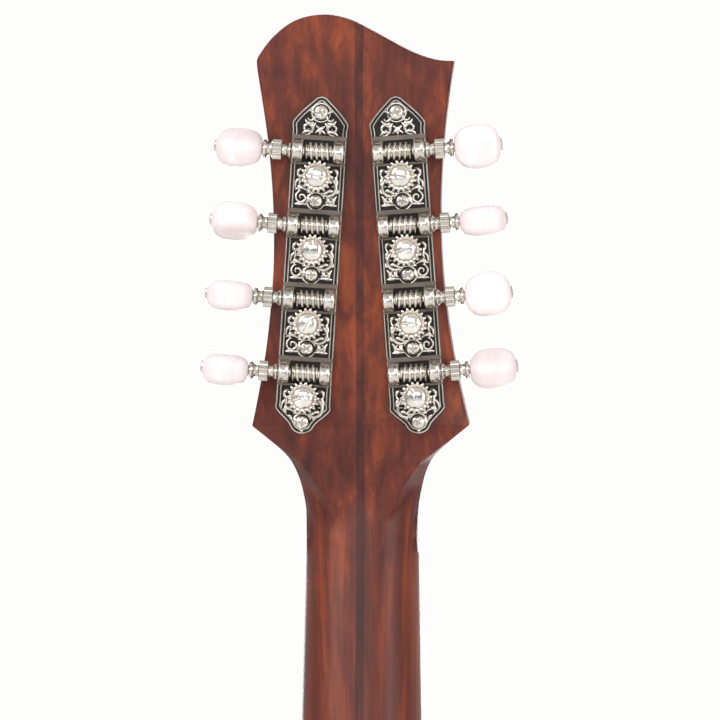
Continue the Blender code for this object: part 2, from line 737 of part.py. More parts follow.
def make_bridge(crown):
    """A footed base with two studs, and a saddle that stands over it on two thumbwheels."""
    loop = body_outline(BINDING_WALL + GAP)
    z_mid = crown.z - BODY_Z
    wheel_low = crown.y + SADDLE_HEIGHT + GAP
    base_top = wheel_low + WHEEL_THICKNESS + SADDLE_TRAVEL + GAP
    rings = []
    for step in range(13):
        part = step / 6 - 1
        x = part * BASE_HALF
        top_of_plate = -(PLATE_FACE + TOP_RISE * arch(scale_at(x, z_mid, loop)))
        foot = top_of_plate - 0.5 * MM - 1.4 * MM * math.cos(part * math.pi / 2) ** 2
        height = base_top + (foot - 2.5 * MM - base_top) * max(0.0, (abs(part) - 0.72) / 0.28)
        low_z = crown.z - BASE_DEPTH / 2
        high_z = crown.z + BASE_DEPTH / 2
        rings.append([(x, foot, low_z), (x, foot, high_z), (x, height, high_z - 2.5 * MM),
                      (x, height, low_z + 2.5 * MM)])
    base = loft("bridge_base", rings)
    half = SADDLE_DEPTH / 2
    rings = []
    for along, drop in ((-half, 1.4), (-0.6 * MM, 0), (0.6 * MM, 0), (half, 1)):
        crest = crown.y + drop * MM
        end = crown.y + 3.4 * MM
        low = crown.y + SADDLE_HEIGHT
        profile = ((-SADDLE_HALF, end), (-SADDLE_HALF, low), (SADDLE_HALF, low), (SADDLE_HALF, end),
                   (27 * MM, crest), (-27 * MM, crest))
        rings.append([(x, y, crown.z + along) for x, y in profile])
    saddle = loft("bridge_saddle", rings)
    for name, side in (("bass", -1), ("treble", 1)):
        foot = (side * WHEEL_X, base_top + 2 * MM, crown.z)
        head_end = (side * WHEEL_X, crown.y + 4.6 * MM, crown.z)
        join(base, rod("stud", foot, head_end, STUD_RADIUS, 10))
        deep = (side * WHEEL_X, crown.y + 4 * MM - SADDLE_TRAVEL, crown.z)
        tool = rod("stud_bore_tool", foot, deep, STUD_RADIUS + GAP, 10)
        cut(saddle, tool)
        half = WHEEL_THICKNESS / 2
        wheel = rod(f"bridge_wheel_{name}", (0, -half, 0), (0, half, 0), WHEEL_RADIUS, 24)
        cut(wheel, rod("wheel_bore_tool", (0, -5 * MM, 0), (0, 5 * MM, 0), STUD_RADIUS + GAP, 10))
        finish(wheel, brass)
        wheel.location = (side * WHEEL_X, wheel_low + WHEEL_THICKNESS / 2, crown.z)
    finish(base, ebony)
    finish(saddle, ebony)


def string_slope(crown):
    """The direction from the tailpiece's hooks up to the saddle, a unit vector in Y and Z."""
    hook = Vector((0, HOOK_Y, BODY_Z + HOOK_Z))
    return hook, (crown - hook).normalized()


def make_tailpiece(crown):
    """A bent sheet that is screwed to the end, with a lip for the strings, and the cover over it."""
    hook, along = string_slope(crown)
    across = Vector((0, -along.z, along.y))
    lip_foot = hook - across * 2.4 * MM - along * 1.6 * MM
    bend = lip_foot - along * 58 * MM
    end_y = bend.y - 1 * MM
    end_z = BODY_Z - GAP
    path = (
        Vector((0, 13 * MM, end_z)), Vector((0, end_y, end_z)), bend + along * 4 * MM, lip_foot,
        lip_foot + across * 4 * MM,
    )
    bm = bmesh.new()
    low = [bm.verts.new((-TAIL_HALF, point.y, point.z)) for point in path]
    edges = [bm.edges.new(pair) for pair in zip(low, low[1:])]
    made = bmesh.ops.extrude_edge_only(bm, edges=edges)["geom"]
    for item in made:
        if isinstance(item, bmesh.types.BMVert):
            item.co.x = TAIL_HALF
    base = solidify(sheet(bm, "tailpiece_base"), TAIL_SHEET, 1)
    pin_tool = rod("pin_hole_tool", (0, 0, -5 * MM), (0, 0, BODY_Z + 40 * MM), PIN_RADIUS + GAP, 12)
    cut(base, pin_tool)
    cut(bpy.data.objects["rim"], pin_tool)
    cut(bpy.data.objects["tail_block"], pin_tool)
    finish(base, nickel)

    pin = rod("end_pin", (0, 0, 6.5 * MM), (0, 0, BODY_Z + 24 * MM), PIN_RADIUS, 12, 2.8 * MM)
    join(pin, rod("pin_head", (0, 0, 0), (0, 0, 7 * MM), PIN_HEAD, 20))
    finish(pin, ebony)


def make_cover(crown):
    """The tailpiece's cover: a shallow tray, open towards the strings and the top."""
    hook, along = string_slope(crown)
    across = Vector((0, -along.z, along.y))
    low = Vector((-TAIL_HALF - 2.2 * MM, -1.2 * MM, -68.5 * MM))
    high = Vector((TAIL_HALF + 2.2 * MM, 6 * MM, 12 * MM))
    frame = Matrix.Translation(hook) @ Matrix((
        (1, 0, 0, 0), (0, across.y, along.y, 0), (0, across.z, along.z, 0), (0, 0, 0, 1),
    ))
    bm = bmesh.new()
    bmesh.ops.create_cube(bm, size=1)
    bmesh.ops.transform(bm, verts=bm.verts, matrix=Matrix.Diagonal((*(high - low), 1)))
    bmesh.ops.translate(bm, verts=bm.verts, vec=(low + high) / 2)
    opened = [face for face in bm.faces if face.normal.z > 0.5 or face.normal.y < -0.5]
    bmesh.ops.delete(bm, geom=opened, context="FACES")
    cover = link(bm, "tailpiece_cover")
    cover.data.transform(frame)
    finish(solidify(cover, COVER_WALL), nickel)


def make_strings(neck, head, crown):
    """Each string runs from the tailpiece over the saddle and the nut to the inner side of its post."""
    hook, _ = string_slope(crown)
    for note, (owner, index, radius, _) in STRINGS.items():
        side = -1 if owner == "bass" else 1
        radius = radius * MM
        rest = radius + GAP
        saddle_x = side * SADDLE_COURSES[index]
        post_x, post_z = gear_place(side, index)
        at_nut = neck.matrix_world @ Vector((side * NUT_COURSES[index], NUT_TOP - rest, NUT_LENGTH))
        inner_x = post_x - side * (POST_RADIUS + rest)
        at_post = head.matrix_world @ Vector((inner_x, -STRING_AT_POST, post_z))
        points = (
            Vector((saddle_x * 0.55, hook.y, hook.z)),
            Vector((saddle_x, crown.y - rest, crown.z)),
            at_nut,
            at_post,
        )
        curve = bpy.data.curves.new(f"string_{note}", "CURVE")
        curve.dimensions = "3D"
        curve.bevel_depth = radius
        curve.bevel_resolution = 1
        curve.use_fill_caps = True
        spline = curve.splines.new("POLY")
        spline.points.add(len(points) - 1)
        for point, place in zip(spline.points, points):
            point.co = (*place, 1)
        string = bpy.data.objects.new(f"string_{note}", curve)
        finish(string, steel)


for leftover in list(bpy.data.objects):
    bpy.data.objects.remove(leftover)
parts = new_collection("mandolin")
cutters = new_collection("cutters")

stained = material("stained_wood", (0.16, 0.045, 0.02), 0.35)
maple = material("stained_maple", (0.17, 0.05, 0.02), 0.3)
spruce = material("stained_spruce", (0.3, 0.11, 0.03), 0.3)
dark_wood = material("dark_strip_wood", (0.035, 0.012, 0.008), 0.4)
blocks = material("bare_wood", (0.55, 0.4, 0.25), 0.7)
ebony = material("ebony", (0.012, 0.01, 0.009), 0.35)
cream = material("cream_binding", (0.75, 0.66, 0.48), 0.35)
bone = material("bone", (0.8, 0.76, 0.66), 0.4)
nickel = material("nickel", (0.72, 0.68, 0.62), 0.25, 1.0)
brass = material("brass", (0.75, 0.52, 0.22), 0.3, 1.0)
steel = material("steel", (0.62, 0.61, 0.6), 0.3, 1.0)
button_white = material("white_plastic", (0.83, 0.78, 0.76), 0.25)

fret_z = SCALE_LENGTH * (1 - 2 ** (-BODY_FRET / 12))
board_y = -PLATE_FACE - BOARD_LIFT
nut_place = (
    0,
    board_y + fret_z * math.sin(NECK_ANGLE),
    BODY_Z + BODY_LENGTH + fret_z * math.cos(NECK_ANGLE),
)
neck_frame = empty("neck_frame", None, nut_place, (-NECK_ANGLE, 0, 0))
head_frame = empty("head_frame", neck_frame, (0, HEAD_DROP, 0), (-HEAD_ANGLE, 0, 0))
bpy.context.view_layer.update()

saddle_crown = saddle_point(neck_frame)
make_body()
make_neck(neck_frame, head_frame)
make_board(neck_frame)
make_tuners(head_frame)
make_bridge(saddle_crown)
make_tailpiece(saddle_crown)
make_cover(saddle_crown)
make_strings(neck_frame, head_frame, saddle_crown)
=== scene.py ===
"""The looks of the octave mandolin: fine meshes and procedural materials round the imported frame."""

import math

import bmesh
import bpy
import numpy as np
from mathutils import Matrix, Vector
from mathutils.geometry import interpolate_bezier


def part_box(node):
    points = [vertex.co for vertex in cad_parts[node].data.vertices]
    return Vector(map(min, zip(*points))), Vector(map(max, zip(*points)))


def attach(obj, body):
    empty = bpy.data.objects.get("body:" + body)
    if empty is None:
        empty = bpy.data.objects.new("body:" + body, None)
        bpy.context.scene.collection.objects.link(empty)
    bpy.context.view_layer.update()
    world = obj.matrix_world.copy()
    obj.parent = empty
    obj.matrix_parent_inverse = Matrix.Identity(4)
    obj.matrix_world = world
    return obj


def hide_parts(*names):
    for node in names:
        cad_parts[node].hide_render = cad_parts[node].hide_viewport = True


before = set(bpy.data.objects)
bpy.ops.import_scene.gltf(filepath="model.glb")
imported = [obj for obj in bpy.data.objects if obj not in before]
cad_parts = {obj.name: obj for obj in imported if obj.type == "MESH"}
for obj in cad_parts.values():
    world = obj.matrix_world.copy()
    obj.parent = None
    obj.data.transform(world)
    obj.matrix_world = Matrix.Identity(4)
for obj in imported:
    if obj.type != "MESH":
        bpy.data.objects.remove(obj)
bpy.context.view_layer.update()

MM = 0.001
SHARP_ANGLE = 35
ROOT = "instrument"

# Driving dimensions of the frame, in metres and radians.
BODY_Z = 14 * MM
BODY_LENGTH = 400 * MM
BODY_HALF_WIDTH = 159 * MM
WAIST_Z = 140 * MM
SHOULDER_HALF = 27 * MM
ARCH_Z = 150 * MM
RIM_HALF_DEPTH = 25.2 * MM
PLATE_FACE = 29.5 * MM
PLATE_WALL = 4 * MM
TOP_RISE = 15 * MM
BACK_RISE = 12 * MM
SCALE_LENGTH = 578 * MM
NECK_ANGLE = math.radians(4.5)
BOARD_LIFT = 9 * MM
BOARD_LENGTH = 409 * MM
BOARD_THICKNESS = 5.2 * MM
NUT_HALF = 17.65 * MM
NUT_TOP = -1 * MM
NUT_LENGTH = 4.4 * MM
NECK_TAPER = 0.0195
NECK_BACK = 21.5 * MM
HEEL_BACK = 71 * MM
HEEL_START = -262 * MM
HEAD_ANGLE = math.radians(14)
HEAD_DROP = 3 * MM
HEAD_THICKNESS = 15 * MM
OVERLAY_THICKNESS = 1.8 * MM
STRIP_HALF = 1.3 * MM
HEAD_SIDE = (
    (17.2, 5.2), (17.6, 14.6), (18.5, 20), (20.1, 26.1), (22.9, 31.5), (27.3, 35.9), (33.8, 41.2),
    (32.4, 47.5), (30.85, 55), (28.9, 66), (27.4, 78), (26.2, 92.5), (26.05, 108), (26.5, 119.5),
    (27.6, 132.3), (29.2, 144.5),
)
HEAD_LEAN = 0.0118
HEAD_CORNER = (33.8, 41.2)
HEAD_EAR = (-29.5, 154.6)
HEAD_TOP = (
    (31.8, 154.4), (31.1, 156.6), (26.5, 162.5), (19.8, 167.4), (11.6, 169.2), (3.9, 168),
    (-5.3, 163.6), (-14.8, 158.4), (-20.5, 156), (-24.8, 154.9), HEAD_EAR,
)
TONGUE_END = 7.5 * MM
# The blend from neck to headstock, each as (height above the nut, value): how far the round back
# stands proud of the headstock's, how square its section is, how steeply the flat tongue's sides
# fall, and half the tongue's width.
BLEND_PROUD = ((5, 2.9), (10, 1.6), (15, 0.7), (20, 0.2), (26, 0), (50, 0))
BLEND_POWER = ((5, 2.2), (15, 2.1), (25, 2.1), (33, 2.6), (38, 6), (41.2, 24))
BLEND_SLOPE = ((5, 0.45), (9, 0.8), (14, 1.3), (22, 1.7), (50, 1.8))
BLEND_TONGUE = ((5, 5.2), (8, 7.6), (14.5, 9.4), (21, 12.7), (30, 19), (36, 27), (41.2, 40))
TUNER_PITCH = 23 * MM
TUNER_COUNT = 4
TOP_GEAR_Z = 119.1 * MM
TOP_GEAR_X = 13 * MM
PLATE_FLARE = math.asin(4.6 / 69)
PLATE_HALF = 8.5
PLATE_THICKNESS = 1.2 * MM
PLATE_BACK = HEAD_THICKNESS + 0.3 * MM + PLATE_THICKNESS
SHAFT_Y = PLATE_BACK + 3.4 * MM
SHAFT_Z = 7.6 * MM
GEAR_TEETH = 18
WORM_TURNS = 5
WORM_PITCH = 2 * math.pi * 4.87 * MM / GEAR_TEETH
POST_RADIUS = 3 * MM
POST_FRONT = -11.5 * MM
BUTTON_START = 17.3 * MM
BUTTON_SIZE = (14.6 * MM, 9.8 * MM, 14.4 * MM)
STRING_AT_POST = 4.5 * MM
HOOK = Vector((0, -46 * MM, 76 * MM))
HOOK_SPREAD = 0.55

BASS, TREBLE = -1, 1
# Each tuner: its side, its place from the nut, its string's radius in mm, the turn of its button,
# the turn of the slot in its gear's screw, both in degrees, and whether its string is wound.
STRINGS = {
    "g1": (BASS, 0, 0.58, 62, 115, True), "g2": (BASS, 1, 0.58, 5, 0, True),
    "d1": (BASS, 2, 0.40, 87, 15, True), "d2": (BASS, 3, 0.40, 0, -5, True),
    "e1": (TREBLE, 0, 0.15, 84, 20, False), "e2": (TREBLE, 1, 0.15, 88, 50, False),
    "a1": (TREBLE, 2, 0.28, -64, 94, True), "a2": (TREBLE, 3, 0.28, 66, -8, True),
}
NUT_COURSES = (14.2 * MM, 12 * MM, 5.5 * MM, 3.3 * MM)
SADDLE_COURSES = (21.5 * MM, 18.4 * MM, 8.8 * MM, 5.7 * MM)

board_y = -PLATE_FACE - BOARD_LIFT
body_fret_z = SCALE_LENGTH * (1 - 2 ** (-14 / 12))
NECK = Matrix.Translation((
    0, board_y + body_fret_z * math.sin(NECK_ANGLE),
    BODY_Z + BODY_LENGTH + body_fret_z * math.cos(NECK_ANGLE),
)) @ Matrix.Rotation(-NECK_ANGLE, 4, "X")
HEAD = NECK @ Matrix.Translation((0, HEAD_DROP, 0)) @ Matrix.Rotation(-HEAD_ANGLE, 4, "X")
CROWN = NECK @ Vector((0, -5 * MM, -SCALE_LENGTH - 1 * MM))


# Materials


class Shader:
    """A material's node tree, with one Principled BSDF and short calls to add nodes."""

    def __init__(self, name, roughness, metallic=0.0, coat=0.0, coat_roughness=0.1):
        self.material = bpy.data.materials.new(name)
        self.material.use_nodes = True
        self.nodes = self.material.node_tree.nodes
        self.links = self.material.node_tree.links
        self.bsdf = self.nodes["Principled BSDF"]
        self.bsdf.inputs["Roughness"].default_value = roughness
        self.bsdf.inputs["Metallic"].default_value = metallic
        self.bsdf.inputs["Specular IOR Level"].default_value = 0.5 if metallic else 0.28
        self.bsdf.inputs["Coat Weight"].default_value = coat
        self.bsdf.inputs["Coat Roughness"].default_value = coat_roughness
        self.place = self.nodes.new("ShaderNodeTexCoord").outputs["Object"]

    def feed(self, value, socket):
        """Links a value to a socket, or sets it there when it is a number or a colour."""
        if isinstance(value, bpy.types.NodeSocket):
            self.links.new(value, socket)
        else:
            socket.default_value = (*value, 1) if isinstance(value, tuple) else value

    def stretched(self, scale):
        """The object's own coordinates, scaled on each axis."""
        node = self.nodes.new("ShaderNodeMapping")
        node.inputs["Scale"].default_value = scale
        self.links.new(self.place, node.inputs["Vector"])
        return node.outputs["Vector"]

    def noise(self, scale, size=1.0, detail=4.0, roughness=0.55, distortion=0.0):
        """Clouds or streaks, by how unequal the scale is."""
        node = self.nodes.new("ShaderNodeTexNoise")
        node.inputs["Scale"].default_value = size
        node.inputs["Detail"].default_value = detail
        node.inputs["Roughness"].default_value = roughness
        node.inputs["Distortion"].default_value = distortion
        self.links.new(self.stretched(scale), node.inputs["Vector"])
        return node.outputs["Fac"]

    def wave(self, scale, size=1.0, distortion=2.0, detail=2.0, bands="X"):
        """Bands across one axis."""
        node = self.nodes.new("ShaderNodeTexWave")
        node.bands_direction = bands
        node.inputs["Scale"].default_value = size
        node.inputs["Distortion"].default_value = distortion
        node.inputs["Detail"].default_value = detail
        self.links.new(self.stretched(scale), node.inputs["Vector"])
        return node.outputs["Fac"]

    def ramp(self, value, *stops):
        """A colour for each value, between (position, colour) stops."""
        node = self.nodes.new("ShaderNodeValToRGB")
        elements = node.color_ramp.elements
        while len(elements) < len(stops):
            elements.new(0.5)
        for element, (position, colour) in zip(elements, stops):
            element.position = position
            element.color = (*colour, 1)
        self.links.new(value, node.inputs["Fac"])
        return node.outputs["Color"]

    def mix(self, factor, first, second, blend="MIX"):
        """One colour mixed with another."""
        node = self.nodes.new("ShaderNodeMix")
        node.data_type = "RGBA"
        node.blend_type = blend
        for value, socket in ((factor, 0), (first, 6), (second, 7)):
            self.feed(value, node.inputs[socket])
        return node.outputs[2]

    def maths(self, operation, first, second):
        """Two values joined by an operation."""
        node = self.nodes.new("ShaderNodeMath")
        node.operation = operation
        self.feed(first, node.inputs[0])
        self.feed(second, node.inputs[1])
        return node.outputs[0]

    def level(self, value, low, high):
        """A value from 0 to 1 moved to another range."""
        node = self.nodes.new("ShaderNodeMapRange")
        node.inputs["To Min"].default_value = low
        node.inputs["To Max"].default_value = high
        self.links.new(value, node.inputs["Value"])
        return node.outputs["Result"]

    def colour(self, value):
        """Sets the base colour."""
        self.feed(value, self.bsdf.inputs["Base Color"])

    def roughness(self, value, low, high):
        """Varies the roughness with a value."""
        self.links.new(self.level(value, low, high), self.bsdf.inputs["Roughness"])

    def bump(self, value, depth, strength=1.0):
        """Raises the surface by a value, and returns the finished material."""
        node = self.nodes.new("ShaderNodeBump")
        node.inputs["Distance"].default_value = depth
        node.inputs["Strength"].default_value = strength
        self.links.new(value, node.inputs["Height"])
        self.links.new(node.outputs["Normal"], self.bsdf.inputs["Normal"])
        return self.material


def stained_wood(name, dark, middle, light, roughness, figure=0.0, coat=0.04):
    """Stained hardwood: fine streaks along z, soft mottling, pores, and a cross figure if asked."""
    shader = Shader(name, roughness, coat=coat, coat_roughness=0.3)
    streaks = shader.noise((260, 260, 9), 1.0, 6, 0.62, 0.4)
    mottle = shader.noise((26, 26, 14), 1.0, 4, 0.6, 1.2)
    base = shader.ramp(shader.maths("ADD", shader.maths("MULTIPLY", streaks, 0.55),
                                    shader.maths("MULTIPLY", mottle, 0.45)),
                       (0.34, dark), (0.5, middle), (0.64, light))
    if figure:
        curl = shader.wave((8, 8, 60), 1.0, 5, 3, "Z")
        base = shader.mix(shader.maths("MULTIPLY", curl, figure), base, light)
    pores = shader.noise((1500, 1500, 60), 1.0, 2, 0.5)
    base = shader.mix(shader.level(pores, 0.0, 0.35), base, dark, "MULTIPLY")
    shader.colour(base)
    shader.roughness(mottle, roughness - 0.06, roughness + 0.08)
    return shader.bump(pores, 0.00004, 0.35)


def spruce_wood(name, dark, light):
    """Straight-grained softwood: close dark lines along z, paler between."""
    shader = Shader(name, 0.32, coat=0.4, coat_roughness=0.15)
    lines = shader.wave((1, 1, 0.012), 520, 1.2, 3, "X")
    streaks = shader.noise((300, 300, 10), 1.0, 5, 0.6)
    grain = shader.maths("ADD", shader.maths("MULTIPLY", lines, 0.5), shader.maths("MULTIPLY", streaks, 0.5))
    wood = shader.ramp(grain, (0.25, light), (0.8, dark))
    shader.colour(wood)
    return shader.bump(lines, 0.00003, 0.25)


def metal(name, colour, roughness, grain=900.0, depth=0.00001):
    """Plated metal with a cloudy sheen and fine polishing marks."""
    shader = Shader(name, roughness, 1.0)
    cloud = shader.noise((120, 120, 120), 1.0, 4, 0.6)
    shade = tuple(0.8 * value for value in colour)
    shader.colour(shader.ramp(cloud, (0.35, shade), (0.65, colour)))
    shader.roughness(cloud, roughness - 0.05, roughness + 0.1)
    return shader.bump(shader.noise((grain, grain, grain), 1.0, 3), depth, 0.3)


def plastic(name, colour, shade, roughness, subsurface=0.0):
    """Moulded plastic with faint pearly clouds."""
    shader = Shader(name, roughness, coat=0.15, coat_roughness=0.2)
    cloud = shader.noise((170, 170, 60), 1.0, 4, 0.6, 1.5)
    shader.colour(shader.ramp(cloud, (0.3, shade), (0.7, colour)))
    shader.bsdf.inputs["Subsurface Weight"].default_value = subsurface
    shader.bsdf.inputs["Subsurface Radius"].default_value = (0.003, 0.002, 0.002)
    shader.bsdf.inputs["Subsurface Scale"].default_value = 1.0
    return shader.bump(shader.noise((700, 700, 700), 1.0, 2), 0.00001, 0.3)


def black_wood(name, roughness):
    """Ebony: near black with faint brown streaks and fine pores."""
    shader = Shader(name, roughness, coat=0.1, coat_roughness=0.3)
    streaks = shader.noise((500, 500, 14), 1.0, 5, 0.6)
    shader.colour(shader.ramp(streaks, (0.4, (0.008, 0.007, 0.006)), (0.75, (0.035, 0.024, 0.017))))
    return shader.bump(streaks, 0.00003, 0.3)


def wound_steel(name, pitch, colour):
    """Wire wrapped closely round a core: fine ridges along the string."""
    shader = Shader(name, 0.3, 1.0)
    shader.colour(shader.ramp(shader.noise((90, 90, 90), 1.0, 3), (0.3, tuple(0.75 * v for v in colour)),
                              (0.7, colour)))
    return shader.bump(shader.wave((1, 1, 1), 1 / (2 * pitch), 0, 0, "Z"), 0.00006, 0.8)


# Mesh building


def curved(points, corners=(), steps=6):
    """A smooth run through the points, which turns sharply only at the corners."""
    points = [Vector(point) for point in points]
    fixed = {tuple(round(c, 6) for c in Vector(corner)) for corner in corners}
    sharp = [tuple(round(c, 6) for c in point) in fixed for point in points]
    made = []
    for i in range(len(points) - 1):
        start, end = points[i], points[i + 1]
        before = points[i - 1] if i and not sharp[i] else start
        after = points[i + 2] if i + 2 < len(points) and not sharp[i + 1] else end
        span = (end - start).length
        out = (end - before).normalized() * span / 3
        into = (after - start).normalized() * span / 3
        made += interpolate_bezier(start, start + out, end - into, end, steps + 1)[:-1]
    return [Vector(point).to_2d() for point in made] + [points[-1].to_2d()]


def make(name, bm, surface, body=ROOT, place=Matrix(), nodes=(), angle=SHARP_ANGLE):
    """Closes a mesh in progress into a piece that rides on a body and stands for CAD nodes."""
    bmesh.ops.recalc_face_normals(bm, faces=bm.faces)
    mesh = bpy.data.meshes.new(name)
    bm.to_mesh(mesh)
    bm.free()
    mesh.transform(place)
    mesh.shade_smooth()
    mesh.set_sharp_from_angle(angle=math.radians(angle))
    mesh.materials.append(surface)
    piece = bpy.data.objects.new(name, mesh)
    bpy.context.scene.collection.objects.link(piece)
    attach(piece, body)
    if nodes:
        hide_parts(*nodes)
    return piece


def apply_modifiers(piece):
    """Replaces a piece's mesh with what its modifiers make of it."""
    bpy.context.view_layer.update()
    shape = piece.evaluated_get(bpy.context.evaluated_depsgraph_get())
    mesh = bpy.data.meshes.new_from_object(shape)
    piece.modifiers.clear()
    piece.data = mesh


def modified(piece, kind, **values):
    """Adds a modifier with the given settings."""
    modifier = piece.modifiers.new(kind.lower(), kind)
    for key, value in values.items():
        setattr(modifier, key, value)


def cut(piece, bm, crossing=False):
    """Cuts a mesh in progress, whose parts may cross each other, out of a piece."""
    bmesh.ops.recalc_face_normals(bm, faces=bm.faces)
    mesh = bpy.data.meshes.new("cutter")
    bm.to_mesh(mesh)
    bm.free()
    mesh.shade_smooth()
    mesh.set_sharp_from_angle(angle=math.radians(SHARP_ANGLE))
    mesh.materials.append(piece.data.materials[0])
    tool = bpy.data.objects.new("cutter", mesh)
    bpy.context.scene.collection.objects.link(tool)
    modified(piece, "BOOLEAN", operation="DIFFERENCE", object=tool, solver="EXACT", use_self=crossing)
    apply_modifiers(piece)
    bpy.data.objects.remove(tool)


def add_loft(bm, rings, capped=True):
    """Adds quads between rings of the same number of points, closing each ring."""
    rows = [[bm.verts.new(point) for point in ring] for ring in rings]
    for first, second in zip(rows, rows[1:]):
        for i in range(len(first)):
            j = (i + 1) % len(first)
            bm.faces.new((first[i], first[j], second[j], second[i]))
    if capped:
        bm.faces.new(rows[0])
        bm.faces.new(rows[-1])
    return rows


def add_turned(bm, profile, axis="Y", sides=32, place=Matrix(), ridges=0, ridge=0.0):
    """Adds a solid turned about an axis from (distance along, radius) pairs, ridged if asked."""
    rings = []
    for along, radius in profile:
        ring = []
        for corner in range(sides):
            turn = 2 * math.pi * corner / sides
            reach = max(radius, 1e-6) + (ridge * math.cos(ridges * turn) if ridges else 0)
            across = (reach * math.cos(turn), reach * math.sin(turn))
            point = {
                "X": (along, *across), "Y": (across[1], along, across[0]), "Z": (*across, along),
            }[axis]
            ring.append(place @ Vector(point))
        rings.append(ring)
    add_loft(bm, rings)


def scaled(profile, side=1):
    """Pairs of millimetres in metres, the first of each mirrored for the bass side."""
    return [(side * along * MM, radius * MM) for along, radius in profile]


def ring_at(loop, inset, level, lift=0.0):
    """A loop of x and z moved inwards and raised, at a y level."""
    moved = inset_loop(loop, inset) if inset else loop
    return [Vector((point.x, level, point.y + lift)) for point in moved]


def add_prism(bm, outline, low, high, bevel=0.0, place=Matrix()):
    """Adds an outline in x and z between two y levels, its edges rounded by a bevel."""
    levels = [(low, 0.0), (high, 0.0)]
    if bevel:
        levels = [(low, bevel), (low + bevel * 0.3, bevel * 0.3), (low + bevel, 0),
                  (high - bevel, 0), (high - bevel * 0.3, bevel * 0.3), (high, bevel)]
    rings = [ring_at(outline, inset, level) for level, inset in levels]
    add_loft(bm, [[place @ point for point in ring] for ring in rings])


def add_band(bm, rings):
    """Adds a closed band: rings joined in turn, and the last to the first."""
    add_loft(bm, rings + rings[:1], capped=False)
    bmesh.ops.remove_doubles(bm, verts=bm.verts, dist=1e-7)


def add_box(bm, low, high, place=Matrix()):
    """Adds a box between two corners."""
    low = Vector(low)
    high = Vector(high)
    made = bmesh.ops.create_cube(bm, size=1)["verts"]
    matrix = Matrix.Translation((low + high) / 2) @ Matrix.Diagonal((*(high - low), 1))
    bmesh.ops.transform(bm, matrix=place @ matrix, verts=made)


def inset_loop(loop, inset):
    """A closed loop of 2D points moved inwards, whichever way it runs."""
    area = sum(a.x * b.y - b.x * a.y for a, b in zip(loop, loop[1:] + loop[:1]))
    sign = 1 if area > 0 else -1
    moved = []
    for i, point in enumerate(loop):
        before = (point - loop[i - 1]).normalized()
        after = (loop[(i + 1) % len(loop)] - point).normalized()
        normal = Vector((-(before + after).y, (before + after).x))
        if normal.length < 1e-6:
            normal = Vector((-after.y, after.x))
        normal.normalize()
        stretch = max(0.5, normal.dot(Vector((-after.y, after.x))))
        moved.append(point + sign * normal * inset / stretch)
    return moved


def wires(name, runs, radius, surface, body=ROOT, place=Matrix(), nodes=(), sides=3, squash=1.0):
    """Round wire or raised lines along runs of 3D points, as one curve made into a mesh."""
    curve = bpy.data.curves.new(name, "CURVE")
    curve.dimensions = "3D"
    curve.bevel_depth = radius
    curve.bevel_resolution = sides
    curve.use_fill_caps = True
    for run in runs:
        spline = curve.splines.new("POLY")
        spline.points.add(len(run) - 1)
        for point, spot in zip(spline.points, run):
            point.co = (spot[0], spot[1], spot[2], 1)
            point.radius = spot[3] if len(spot) > 3 else 1.0
    flat = bpy.data.objects.new(name, curve)
    bpy.context.scene.collection.objects.link(flat)
    bpy.context.view_layer.update()
    mesh = bpy.data.meshes.new_from_object(flat.evaluated_get(bpy.context.evaluated_depsgraph_get()))
    bpy.data.objects.remove(flat)
    bm = bmesh.new()
    bm.from_mesh(mesh)
    bmesh.ops.remove_doubles(bm, verts=bm.verts, dist=1e-6)
    if squash != 1.0:
        level = runs[0][0][1]
        for vert in bm.verts:
            vert.co.y = level + (vert.co.y - level) * squash
    return make(name, bm, surface, body, place, nodes, 50)


# Neck and headstock


def interpolate(table, value):
    """Reads a table of (key, value) pairs between its keys."""
    keys = [key for key, _ in table]
    return float(np.interp(value, keys, [item for _, item in table]))


def head_outline():
    """The headstock's outline in metres, up its treble side, over the top and down its bass side."""
    side = [(x, z, HEAD_LEAN * max(0.0, z - HEAD_CORNER[1])) for x, z in HEAD_SIDE]
    treble = [(lean + x, z) for x, z, lean in side]
    bass = [(lean - x, z) for x, z, lean in reversed(side)]
    corners = (HEAD_CORNER, HEAD_EAR, (-HEAD_CORNER[0], HEAD_CORNER[1]))
    return [point * MM for point in curved(treble + list(HEAD_TOP) + bass, corners)]


def head_half(z, outline):
    """Half the headstock's width at a height, read from its smooth outline."""
    side = [(point.y, point.x) for point in outline if point.x > 0 and point.y < 144 * MM]
    return interpolate(sorted(side), z)


def neck_section(half, front, depth, power, edge=None, slope=1.0):
    """Half a section of the neck, from its middle out: a superellipse, with a flat tongue if asked."""
    def level(x):
        round_back = front + depth * max(0.0, 1 - (x / half) ** power) ** (1 / power)
        if edge is None:
            return round_back
        flat = min(HEAD_THICKNESS, HEAD_THICKNESS - (x - edge) * slope)
        soft = 0.3 * MM * min(1.0, max(0.0, half - x) / (2 * MM))
        return (round_back + flat + math.hypot(round_back - flat, soft)) / 2

    start = min(edge if edge is not None else TONGUE_END, 0.9 * half)
    spots = [start * step / 10 for step in range(11)]
    first = math.acos(start / half)
    spots += [half * math.cos(first * (1 - step / 28)) for step in range(1, 28)]
    return [(x, max(front, level(x))) for x in spots] + [(half, front)]


